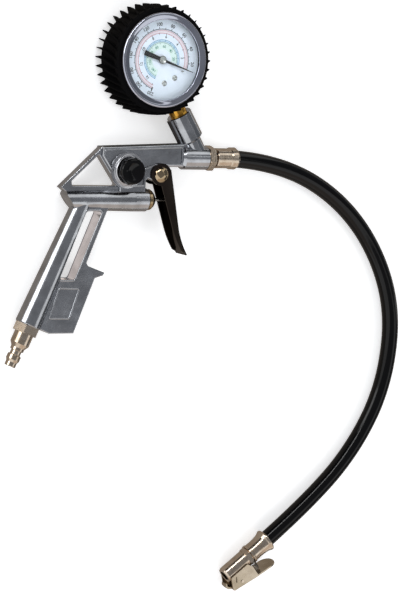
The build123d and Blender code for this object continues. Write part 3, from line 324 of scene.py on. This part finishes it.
# Cool grey with soft streaks, bright where it turns to the lamps
cast = buffed("diecast_aluminium_buffed", "#C3C6CB", 0.11, 0.21, 3.0, 0.025, tint="#A9ABAF")
dress(cast, "gun_body")
print(cast.name, "with", len(cast.node_tree.nodes), "nodes")

# %% [markdown]
# ### Ridges on the casting
# A raised ridge runs round the slot and the recess of the grip, and along the edge of the beam's side
# panel. It is part of the casting and round on top, so it catches a thin line of light all the way. Each
# one is an ellipse carried along a path of straight runs and round corners, with its lower half sunk flat
# into the casting.

# %% Ridges
GUN_MID, SIDE_FACE = 12.0, 6.0        # the casting's middle level, and its flat sides' distance from it
SUNK = -0.2                           # where a ridge's lower half is cut flat, as a share of its height


def path_round(corners, corner, steps=8):
    """A closed path: each corner P becomes (1-t)^2 A + 2t(1-t) P + t^2 B, with A before it and B after it."""
    points = np.asarray(corners, float)
    before = points + corner * unit(np.roll(points, 1, 0) - points)
    after = points + corner * unit(np.roll(points, -1, 0) - points)
    t = np.linspace(0, 1, steps)[None, :, None]
    bend = (1 - t) ** 2 * before[:, None] + 2 * t * (1 - t) * points[:, None] + t ** 2 * after[:, None]
    return bend.reshape(-1, 2)


def ridge(path, beside, half_width, height, base, side):
    """Points path + normal (beside + half_width cos u), at the level base + side height max(sin u, SUNK)."""
    along = unit(np.roll(path, -1, 0) - np.roll(path, 1, 0))
    normal = np.stack([along[:, 1], -along[:, 0]], 1)
    u = np.linspace(0, 2 * np.pi, 16, endpoint=False)
    flat = path[:, None] + normal[:, None] * (beside + half_width * np.cos(u))[None, :, None]
    rise = np.broadcast_to(base + side * height * np.maximum(np.sin(u), SUNK), flat.shape[:2])
    return np.concatenate([flat, rise[:, :, None]], 2)


gun_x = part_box("gun_body")[1][0] / MM - 49.4
SLOT = [(-50.4, -38.6), (-37.5, -38.6), (-57.7, -88.3), (-70.4, -87.8)]
RECESS = [(-69.2, -94.5), (-54.2, -95.1), (-61.0, -115.5), (-75.8, -115.0)]
PANEL = [(-36.9, 4.9), (26.2, 7.6), (26.2, -4.4), (4.0, -4.8), (-4.6, -7.7), (-4.6, -19.7), (-22.2, -20.6),
         (-37.2, 1.0)]
points, faces, count = [], [], 0
# Each path with its corner, and the ridge's distance from it, half width and height
for corners, corner, beside, half_width, height in (
        (SLOT, 2.2, 0.55, 0.8, 0.8), (RECESS, 0.9, 0.55, 0.8, 0.8), (PANEL, 1.2, 0.4, 0.6, 0.24)):
    path = path_round(np.array(corners) + (gun_x, muzzle_y / MM), corner)
    for side in (-1, 1):
        grid = ridge(path, -beside, half_width, height, GUN_MID + side * SIDE_FACE, side)
        points.append(grid.reshape(-1, 3) * MM)
        faces.append(grid_faces(*grid.shape[:2], True, True)[:, ::side] + count)
        count += len(points[-1])
mesh = new_mesh("cast_ridges", np.vstack(points), np.vstack(faces).tolist())
mesh.shade_smooth()
mesh.materials.append(cast)
ridges = new_object("cast_ridges", mesh)
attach(ridges, "gun")
print("ridges:", len(mesh.polygons), "faces, gun at x", round(gun_x, 2))

# %% [markdown]
# ## Plated and turned metal
# The plug, the ferrules, the hexagon and the chuck are turned steel with a warm nickel plate. A lathe
# leaves fine grooves round a turned part, at right angles to its axis. They are a fraction of a millimetre
# apart, too fine to show here, so they are drawn 1.4 mm apart. A wave along the part's own axis draws them,
# turned by a Mapping node.

# %% Turned metals
GROOVE, GROOVE_DEPTH = 0.7, 0.012
TARNISH_PATCH = 6.0


def lathed(name, colour, shine, dull, along, tint):
    """Plated metal with grooves across an axis, which points `along` degrees from X."""
    made, tree, shader = material(name, colour, 1.0, shine)
    place = add(tree, "ShaderNodeTexCoord").outputs["Object"]
    turned = add(tree, "ShaderNodeMapping", {"Vector": place}, vector_type="TEXTURE",
                 Rotation=(0, 0, np.radians(along))).outputs[0]
    grooves = add(tree, "ShaderNodeTexWave", {"Vector": turned}, Scale=wave_scale(GROOVE), Distortion=0.4,
                  Detail=1.0, bands_direction="X").outputs["Fac"]
    patches = mottle(tree, place, TARNISH_PATCH)
    tree.links.new(spread(tree, patches, shine, dull), shader.inputs["Roughness"])
    two_tones(tree, shader, spread(tree, patches, 0.0, 1.0), colour, tint)
    bump(tree, shader, grooves, GROOVE_DEPTH)
    return made


NICKEL, NICKEL_TARNISHED = "#E0D3C3", "#C6B49E"
# Warm white metal, crossed by fine dark grooves
dress(lathed("turned_nickel_plug", NICKEL, 0.12, 0.24, 66.0, NICKEL_TARNISHED), "inlet_plug")
dress(lathed("turned_nickel_fitting", NICKEL, 0.12, 0.24, 0.0, NICKEL_TARNISHED), "hose_fitting",
      "front_ferrule")
dress(lathed("turned_nickel_chuck", NICKEL, 0.12, 0.26, 35.0, NICKEL_TARNISHED), "chuck_ferrule",
      "chuck_body", "chuck_pin")
# Duller than the turned parts, because pressed sheet isn't polished
dress(buffed("pressed_nickel_lever", "#D2C5B2", 0.14, 0.28, 3.0, 0.03, tint="#AFA18A"), "chuck_lever")
# Nearly black with a brown cast, like smoked glass
dress(buffed("black_nickel_plate", "#4E463F", 0.08, 0.16, 5.0, 0.02, tint="#3B342F"), "trigger")
# Small and sharp golden highlights
dress(buffed("turned_gilt_nickel", "#C0AD90", 0.05, 0.1, 4.0, 0.01, tint="#94805F"), "trigger_pin",
      "valve_nut")
# A bluish mirror
chrome = buffed("spun_chrome", "#C6CAD6", 0.04, 0.09, 9.0, 0.02, tint="#AEB2C2")
dress(chrome, "bezel")
# Deep yellow against the grey casting
dress(lathed("turned_brass", "#F2C25A", 0.12, 0.22, -57.7, "#C98A30"), "stem_socket")
# Dull yellow sheet, and a redder flat spring
dress(buffed("stamped_brass", "#D2A850", 0.2, 0.35, 3.0, 0.02, tint="#A88136"), "bourdon_tube", "tube_end",
      "link", "movement_plate_low", "movement_plate_high", "pillars", "pinion", "sector_gear", "chuck_opener")
dress(buffed("rolled_bronze", "#C08A4A", 0.25, 0.35, 2.0, 0.01, tint="#9A6C38"), "hairspring")
# Neutral grey with a soft shine
steel = buffed("turned_steel", "#BEBDB8", 0.16, 0.3, 1.5, 0.02, tint="#9C9B96")
dress(steel, "valve_stem", "bleed_stem", "dial_screws", "case_screws", "pointer_cap")
# Darker than turned steel, with the broad shine of drawn wire
wire = buffed("drawn_spring_wire", "#9D9C98", 0.25, 0.4, 0.8, 0.02, tint="#7C7B78")
dress(wire, "valve_spring", "bleed_spring", "chuck_spring")
for spring in springs:
    spring.data.materials.append(wire)
print(len(bpy.data.materials), "materials so far")

# %% [markdown]
# ### Collar under the button
# The collar is turned aluminium, so its grooves run round the button's axis. Rings about that axis draw
# them, here 1.6 mm apart for the same reason as above.

# %% Collar
button_at = [(a + b) / 2 for a, b in zip(*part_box("bleed_collar"))]
# Light grey with faint rings
collar, tree, shader = material("turned_aluminium_collar", "#C4C5C9", 1.0, 0.25)
place = add(tree, "ShaderNodeTexCoord").outputs["Object"]
centred = add(tree, "ShaderNodeMapping", {"Vector": place}, vector_type="TEXTURE",
              Location=button_at).outputs[0]
rings = add(tree, "ShaderNodeTexWave", {"Vector": centred}, wave_type="RINGS", rings_direction="Z",
            Scale=wave_scale(0.8)).outputs["Fac"]
tree.links.new(spread(tree, rings, 0.18, 0.3), shader.inputs["Roughness"])
bump(tree, shader, rings, 0.02)
dress(collar, "bleed_collar")
print("button axis at", [round(v / MM, 1) for v in button_at])

# %% [markdown]
# ## Rubber, plastic and enamel
# The boot is moulded from matt black rubber with a fine grain, and dust greys it a little in patches. The
# button is black phenolic straight from a polished mould. The case is stoved black enamel.

# %% Rubbers and plastics
DUST_PATCH = 14.0


def moulded(name, colour, dusty, shine, dull, grain, depth, **more):
    """A moulded surface: its grain in millimetres as relief, with dust that greys and dulls it in patches."""
    made, tree, shader = material(name, colour, 0.0, shine, **more)
    place = add(tree, "ShaderNodeTexCoord").outputs["Object"]
    dust = spread(tree, mottle(tree, place, DUST_PATCH, 5.0), 0.0, 1.0)
    two_tones(tree, shader, dust, colour, dusty)
    rough = add(tree, "ShaderNodeMapRange", {"Value": dust}, To_Min=shine, To_Max=dull).outputs[0]
    tree.links.new(rough, shader.inputs["Roughness"])
    bump(tree, shader, mottle(tree, place, grain, 2.0), depth)
    return made


# Dead black, with hardly any shine on its ribs. Its grain is finer than a pixel, so it is drawn 0.5 mm wide
dress(moulded("moulded_rubber_matt", "#050506", "#09090B", 0.6, 0.75, 0.5, 0.05, IOR=1.5,
              Specular_IOR_Level=0.06), "gauge_boot", "hose")
# Glossy black with a soft window of light
dress(moulded("moulded_phenolic_black", "#040405", "#070709", 0.08, 0.16, 2.5, 0.02, IOR=1.5,
              Specular_IOR_Level=0.3), "bleed_button")
# Soft dark grey
dress(moulded("moulded_seal_rubber", "#191617", "#262223", 0.45, 0.6, 0.4, 0.03, IOR=1.52), "gland_ring",
      "valve_seal", "bleed_seal", "chuck_seal")
# Smooth black paint
dress(moulded("stoved_enamel_black", "#0C0C0D", "#141416", 0.22, 0.32, 1.2, 0.01, IOR=1.5), "gauge_case")
# Flat black, so that the pointer stands out on the dial
dress(moulded("enamelled_pointer_black", "#020203", "#040405", 0.45, 0.55, 1.0, 0.001, IOR=1.5,
              Specular_IOR_Level=0.05), "pointer")
# Bluish white, as white enamel looks behind glass
dress(moulded("enamelled_dial_white", "#E4EAF3", "#DCE3ED", 0.32, 0.42, 1.0, 0.006, IOR=1.5), "dial")
print(len(bpy.data.materials), "materials so far")

# %% [markdown]
# ## Lens
# The lens is a flat disc of clear glass. Real glass lets the light through to the dial, but a renderer
# would have to find each ray through two faces, so the lens casts no shadow and keeps its reflections.

# %% Lens
# Clear, with a faint veil of the sky
glass, tree, shader = material("float_glass_clear", "#F4F9FC", 0.0, 0.0, IOR=1.5, Transmission_Weight=1.0,
                               Specular_IOR_Level=0.3)
place = add(tree, "ShaderNodeTexCoord").outputs["Object"]
tree.links.new(spread(tree, mottle(tree, place, 9.0, 4.0), 0.0, 0.03), shader.inputs["Roughness"])
dress(glass, "lens")
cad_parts["lens"].visible_shadow = False

# %% [markdown]
# ## Dial print
# The dial is enamelled white and then pad-printed. Its outer scale runs from 20 to 220 in black outside a
# pale band between two thin red lines. A second one in units of about 14.5 runs inside that band, and a
# third one is green inside a pale blue ring.
# The ink is a thin layer with a real edge, so each ink is a sheet of flat shapes that a Solidify modifier
# raises. Bands and ticks are grids in polar coordinates, because everything on a dial is a radius and an
# angle.

# %% Shapes for flat print
DIAL_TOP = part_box("dial")[1][2]
INK = 0.02 * MM
CAPITAL = 0.7                         # the height of a figure in a text of size one


def band(inner, outer, start, end, steps=240):
    """A flat ring part: at angle a and radius r a point is (r cos a, r sin a), on a grid of both."""
    angle = np.radians(np.linspace(start, end, steps))[:, None]
    radius = np.array([inner, outer])[None, :]
    points = np.stack([radius * np.cos(angle), radius * np.sin(angle)], -1).reshape(-1, 2)
    return points, grid_faces(steps, 2)


def ticks(angles, inner, outer, width):
    """Straight marks along the radius: corners (r, +-width / 2) in a mark's own axes, turned by its angle."""
    angle = np.radians(np.asarray(angles, float))[:, None]
    along = np.array([inner, outer, outer, inner])[None, :]
    across = np.array([-1, -1, 1, 1])[None, :] * width / 2
    x = along * np.cos(angle) - across * np.sin(angle)
    y = along * np.sin(angle) + across * np.cos(angle)
    return np.stack([x, y], -1).reshape(-1, 2), np.arange(x.size).reshape(-1, 4)


def number(value, angle, radius, height):
    """Figures whose foot points to the dial's centre: the outline is scaled, moved out, then turned."""
    text = bpy.data.curves.new("figures", "FONT")
    text.body = str(value)
    text.align_x, text.align_y = "CENTER", "CENTER"
    text.offset = 0.02  # a bolder stroke
    holder = new_object("figures", text)
    bpy.context.view_layer.update()
    outline = bpy.data.meshes.new_from_object(holder.evaluated_get(bpy.context.evaluated_depsgraph_get()))
    bpy.data.objects.remove(holder)
    points = np.empty(len(outline.vertices) * 3)
    outline.vertices.foreach_get("co", points)
    points = points.reshape(-1, 3)[:, :2] * height / CAPITAL + (0, radius)
    turn = np.radians(angle - 90.0)
    points = points @ np.array([[np.cos(turn), np.sin(turn)], [-np.sin(turn), np.cos(turn)]])
    outline.calc_loop_triangles()
    faces = np.empty(len(outline.loop_triangles) * 3, int)
    outline.loop_triangles.foreach_get("vertices", faces)
    bpy.data.meshes.remove(outline)
    return points, faces.reshape(-1, 3)


def print_ink(name, shapes, colour, faded, layer):
    """One ink as one piece: its shapes lie together at its layer's height, raised by the ink's thickness."""
    points, faces, count = [], [], 0
    for flat, corners in shapes:
        points.append(flat * MM)
        faces += (corners + count).tolist()
        count += len(flat)
    flat = np.vstack(points)
    mesh = new_mesh(name, np.c_[flat, np.full(len(flat), DIAL_TOP + layer * INK)], faces)
    # A flat colour with a soft edge and less shine than the enamel
    mesh.materials.append(moulded("pad_ink_" + name, colour, faded, 0.35, 0.5, 0.6, 0.002, IOR=1.5))
    piece = new_object(name, mesh)
    raise_ink = piece.modifiers.new("raise", "SOLIDIFY")
    raise_ink.thickness = INK
    raise_ink.offset = 1.0
    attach(piece, "gun")
    print(name, len(faces), "faces")


print("dial at z", round(DIAL_TOP / MM, 2), "mm")

# %% [markdown]
# ### Scales
# Both main scales read the same pressure, so one function gives the angle for a reading. The first stretch
# below 20 is squeezed, as on many such gauges, because the pointer rests on its stop there.

# %% Print the scales
SCALE_START, SCALE_AT_20, SCALE_STEP = -17.5, -5.0, 25.65
SCALE_END = SCALE_AT_20 + SCALE_STEP * 10
BLUE_START, GREEN_START = SCALE_START + 6, SCALE_START + 8
BAR = 14.5
ARC, RED_LINES, BLUE_LINES, GREEN_LINE = 21.6, (18.75, 20.85), (12.9, 14.2), 12.1
LINE = 0.32


def reading(value):
    """Angle of a reading: 25.65 degrees for each 20 units."""
    return SCALE_AT_20 + SCALE_STEP * (np.asarray(value) - 20) / 20


whole_bars = reading(np.arange(1, 16) * BAR)
black = [
    band(ARC, 22.1, SCALE_START, SCALE_END),
    ticks(reading(np.arange(20, 221, 20)), ARC, 23.3, 0.5),
    ticks(reading(np.arange(30, 221, 20)), ARC, 22.9, 0.4),
    ticks(reading(np.arange(15, 221, 5)), ARC, 22.4, 0.2),
    ticks([SCALE_START], ARC, 23.3, 0.4),
    ticks([SCALE_END], ARC - 1.0, 23.6, 1.0)]
black += [number(v, reading(v), 25.2, 2.4) for v in range(20, 221, 20)]
black += [number(v, reading(v * BAR), 16.6, 2.0) for v in range(2, 15, 2)]
black.append(ticks(whole_bars[1:], 18.0, 19.2, 0.35))
print_ink("dial_black_print", black, "#101216", "#1E2126", 2)
print_ink("dial_red_band", [band(19.0, 20.9, SCALE_START, SCALE_END)], "#E4D8DD", "#DED0D6", 0)
red = [band(r, r + LINE, SCALE_START, SCALE_END) for r in RED_LINES]
print_ink("dial_red_lines", red, "#B04A55", "#BA5C66", 1)
print_ink("dial_blue_band", [band(12.9, 14.4, BLUE_START, SCALE_END)], "#BCD6E4", "#B4CFDE", 0)
blue = [band(r, r + LINE, BLUE_START, SCALE_END) for r in BLUE_LINES] + [ticks(whole_bars, 13.0, 14.4, 0.3)]
print_ink("dial_blue_lines", blue, "#2E6F9C", "#3F7BA4", 1)
print_ink("dial_green_band", [band(7.6, 12.6, GREEN_START, SCALE_END)], "#D9E8E2", "#D0E2DB", 0)
green = [band(GREEN_LINE, GREEN_LINE + 0.3, GREEN_START, SCALE_END), ticks(whole_bars, 11.2, 12.2, 0.3)]
green += [number(v, reading(v * BAR / 10), 9.6, 1.8) for v in range(20, 141, 20)]
print_ink("dial_green_lines", green, "#1F7A62", "#2F8A70", 1)

# %% [markdown]
# ### Stop pin
# The pointer of such a gauge rests against a small pin in the dial. A pin is a turned part, so it is a
# profile of distance and radius that is carried once round an axis.

# %% Stop pin
def lathe(name, profile, centre, steps=32, crease=180):
    """A closed turned piece: (x + r cos a, y + r sin a, z), for each (z, r) of the profile and angle a."""
    profile = np.asarray(profile, float) * MM
    angle = np.linspace(0, 2 * np.pi, steps, endpoint=False)[:, None]
    height, radius = profile[None, :, 0], profile[None, :, 1]
    rings = np.stack([radius * np.cos(angle), radius * np.sin(angle),
                      np.broadcast_to(height, (steps, len(profile)))], -1) + np.asarray(centre)
    mesh = new_mesh(name, rings.reshape(-1, 3), grid_faces(*rings.shape[:2], round_rows=True).tolist())
    solid = bmesh.new()
    solid.from_mesh(mesh)
    bmesh.ops.remove_doubles(solid, verts=solid.verts, dist=1e-7)
    bmesh.ops.recalc_face_normals(solid, faces=solid.faces)
    solid.to_mesh(mesh)
    solid.free()
    mesh.shade_smooth()
    mesh.set_sharp_from_angle(angle=np.radians(crease))
    return new_object(name, mesh)


PIN_REACH, pin_angle = 18.6 * MM, np.radians(-24.0)
pin = lathe("pointer_stop", [(-0.3, 0), (-0.3, 0.55), (2.0, 0.55), (2.25, 0.4), (2.3, 0)],
            (PIN_REACH * np.cos(pin_angle), PIN_REACH * np.sin(pin_angle), DIAL_TOP))
pin.data.materials.append(steel)
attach(pin, "gun")
print("stop pin with", len(pin.data.polygons), "faces")

# %% [markdown]
# ### Boss round the button
# The casting rises in a low polished boss where the collar is screwed in. Its flank is a hollow curve,
# which turns the light of a wide angle into one bright ring, so it is drawn with its full curve here.

# %% Boss
face = GUN_MID + SIDE_FACE
flank = [(face - 0.6, 9.8), (face - 0.6, 13.4), (face + 0.02, 13.2), (face + 0.1, 12.5), (face + 0.2, 11.6),
         (face + 0.45, 11.0), (face + 0.8, 10.7), (face + 0.95, 10.4), (face + 0.95, 9.8), (face - 0.6, 9.8)]
boss = lathe("button_boss", flank, (button_at[0], button_at[1], 0), 96, 50)
boss.data.materials.append(collar)
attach(boss, "gun")
print("boss", 2 * max(r for z, r in flank), "mm across")

# %% [markdown]
# ### Bezel
# The bezel is spun from thin sheet and chromed: a skirt, a round roll at the outer edge, a face that falls
# gently inwards, and a small round lip over the lens. The roll and the lip are what catch the light as two
# bright rings.

# %% Bezel
bezel_low, bezel_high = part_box("bezel")
top, foot, lens_top = bezel_high[2] / MM, bezel_low[2] / MM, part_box("lens")[1][2] / MM
rim, eye, roll, lip, lip_fall, sheet = (bezel_high[0] - bezel_low[0]) / 2 / MM, 28.6, 1.6, 0.6, 1.4, 0.9
quarter = np.radians(np.linspace(0, 90, 9))
outer_roll = np.c_[top - roll + roll * np.sin(quarter), rim - roll + roll * np.cos(quarter)]
inner_roll = np.c_[top - lip_fall + lip * np.cos(quarter), eye + lip - lip * np.sin(quarter)]
profile = np.vstack([[(foot, rim)], outer_roll, [(top - 0.25, 31.3), (top - 0.55, 30.2)], inner_roll,
                     [(lens_top, eye), (lens_top, rim - sheet), (foot, rim - sheet), (foot, rim)]])
bezel = lathe("spun_bezel", profile, (0, 0, 0), 160, 40)
bezel.data.materials.append(chrome)
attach(bezel, "gun")
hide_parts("bezel")
print("bezel", round(2 * rim, 1), "mm across, lens", round(top - lens_top, 1), "mm below its top")

# %% [markdown]
# ## Floor and world
# A product picture stands on a pale floor that runs out into white. The floor and the world are brighter
# for what the camera sees, straight or in a reflection, than for the light that they give, so that the
# ground is white and the object still casts its shadow.

# %% Floor and world
SKY_LIGHT, FLOOR_GLOW = 0.45, 0.5


def by_ray(tree, unseen, seen):
    """One level for what the camera sees, straight, in a reflection or through glass, one for the rest."""
    rays = add(tree, "ShaderNodeLightPath")
    sight = add(tree, "ShaderNodeMath", {0: rays.outputs["Is Camera Ray"], 1: rays.outputs["Is Glossy Ray"]},
                operation="ADD")
    sight = add(tree, "ShaderNodeMath", {0: sight.outputs[0], 1: rays.outputs["Is Transmission Ray"]},
                operation="ADD", use_clamp=True)
    return add(tree, "ShaderNodeMapRange", {"Value": sight.outputs[0]}, To_Min=unseen, To_Max=seen).outputs[0]


def staged(name, corners, quads):
    """Flat quads as a piece of the stage."""
    piece = new_object(name, new_mesh(name, np.array(corners), quads))
    return piece


def panel(name, centre, facing, width, height):
    """A flat rectangle: centre +- half its width and height, along two axes square to its facing."""
    out = np.array(Vector(facing).normalized())
    side = unit(np.cross((0, 0, 1.0), out)) if abs(out[2]) < 0.99 else np.array((1.0, 0, 0))
    rise = np.cross(out, side)
    signs = np.array([(-1, -1), (1, -1), (1, 1), (-1, 1)]) / 2
    corners = np.array(centre) + signs[:, :1] * width * side + signs[:, 1:] * height * rise
    return staged(name, corners, [(0, 1, 2, 3)])


floor = panel("floor", (0.05, -0.2, -0.0001), (0, 0, 1), 8, 8)
# Plain pale paint
floor_paint, tree, shader = material("floor_paint_pale", "#F1F2F4", 0.0, 0.8, Specular_IOR_Level=0.0)
shader.inputs["Emission Color"].default_value = (1, 1, 1, 1)
tree.links.new(by_ray(tree, 0.0, FLOOR_GLOW), shader.inputs["Emission Strength"])
floor.data.materials.append(floor_paint)

world = bpy.data.worlds.new("studio")
world.use_nodes = True
bpy.context.scene.world = world
sky = world.node_tree.nodes["Background"]
sky.inputs["Color"].default_value = (1, 1, 1, 1)
world.node_tree.links.new(by_ray(world.node_tree, SKY_LIGHT, 1.0), sky.inputs["Strength"])
print("floor glow", FLOOR_GLOW, "and sky light", SKY_LIGHT)

# %% [markdown]
# ## Lamps and cards
# Polished metal shows its surroundings rather than its own colour, so photographers stand grey, black and
# white cards round it, which put the streaks into the metal. The cards here are part of the stage. They
# shine by themselves at the level that the metal should show, and only reflections see them.
# The walls of the casting show the floor right beside them, so three sheets lie on it that paint light and
# shade into those reflections: a grey one with a hole under the grip's slot, painted shade of the floor round
# the gun; a light one in that hole, painted light of the lit floor for the slot's walls; and a dark strip
# behind the beam, a painted shadow of the gun on the floor there.

# %% Lamps and cards
MIDDLE = Vector((0.06, -0.2, 0.0))
# Offset from the middle, width, height and power
LAMPS = {"key": ((-0.65, 1.3, 1.06), 1.1, 0.14, 6), "side": ((-1.23, 0.68, 0.45), 0.6, 0.8, 3.5),
         "fill": ((1.2, -0.3, 1.0), 0.5, 1.2, 7), "front": ((-0.5, -1.2, 0.9), 1.4, 0.5, 5)}
# Offset from the middle, width, height, colour and glow
CARDS = {"card_over": ((-0.26, 0.3, 1.48), 2.2, 2.9, "#F7F9FF", 0.25),
         "card_rear": ((-0.2, 1.35, 0.35), 2.4, 0.65, "#FFFFFF", 0.03),
         "card_front": ((0.4, -1.25, 0.6), 2.6, 1.1, "#FFF0E4", 0.7),
         "card_right": ((1.4, 0.55, 0.8), 1.4, 1.6, "#F4F8FF", 0.18),
         "card_low": ((1.24, -0.53, 0.4), 0.9, 0.8, "#F4F8FF", 0.12)}
# Half size and level of the grey sheet of painted shade round the gun, and the level of the strip of painted
# shadow
SHADE_SHEET, SHEET_LEVEL, STRIP_LEVEL = 0.6, -0.05, -0.03
# Outline of the strip of painted shadow behind the beam, in the gun's millimetres
SHADOW_STRIP = [(-39, 3), (52, 7), (52, 26), (-39, 22)]


def lamp(name, offset, width, height, power):
    """A soft box at an offset from the object's middle, which faces that middle."""
    data = bpy.data.lights.new(name, "AREA")
    data.shape, data.size, data.size_y, data.energy = "RECTANGLE", width, height, power
    piece = new_object(name, data)
    turn = Vector(offset).normalized().to_track_quat("Z", "Y").to_matrix().to_4x4()
    piece.matrix_world = Matrix.Translation(MIDDLE + Vector(offset)) @ turn
    return piece


def only_reflected(card, tone, glow):
    """A card that shines by itself and that only reflections see."""
    felt = material(card.name + "_felt", "#000000", 0.0, 0.9, Specular_IOR_Level=0.0,
                    Emission_Color=linear(tone), Emission_Strength=glow)[0]
    card.data.materials.append(felt)
    card.visible_camera = card.visible_diffuse = card.visible_shadow = card.visible_transmission = False


def beside_gun(outline, level):
    """Corners in metres from an outline in the gun's own millimetres."""
    return [Vector((gun_x * MM, muzzle_y, 0)) + Vector((x, y, level)) * MM for x, y in outline]


for name, values in LAMPS.items():
    # The fill and the front lamp light the dull pieces, and the metal doesn't show them
    lamp(name, *values).visible_glossy = name in ("key", "side")
for name, (offset, width, height, tone, glow) in CARDS.items():
    only_reflected(panel(name, MIDDLE + Vector(offset), -Vector(offset), width, height), tone, glow)
slot_corners = beside_gun(SLOT, SHEET_LEVEL)
shade_sheet_corners = [MIDDLE + Vector((x * SHADE_SHEET, y * SHADE_SHEET, SHEET_LEVEL * MM))
                 for x, y in ((-1, 1), (1, 1), (1, -1), (-1, -1))]
round_slot = [(i, (i + 1) % 4, 4 + (i + 1) % 4, 4 + i) for i in range(4)]
# A grey sheet of painted shade of the floor round the gun, seen only in reflections, with a hole under the
# slot
only_reflected(staged("card_under_painted_shade", shade_sheet_corners + slot_corners, round_slot), "#FFF2E6", 0.32)
# A light sheet in that hole, painted light of the lit floor that the slot's walls reflect
only_reflected(staged("card_slot_painted_light", slot_corners, [(0, 1, 2, 3)]), "#FFF0E8", 0.95)
# A dark strip of painted shadow of the gun on the floor behind the beam, seen only in reflections
only_reflected(staged("card_behind_painted_shadow", beside_gun(SHADOW_STRIP, STRIP_LEVEL), [(0, 1, 2, 3)]), "#FFF6EE", 0.05)
print(len(CARDS) + 3, "cards and", len(bpy.data.lights), "lamps")

# %% [markdown]
# ## Colours as they are
# The Standard view shows each colour as it was written.

# %% View
bpy.context.scene.view_settings.view_transform = "Standard"
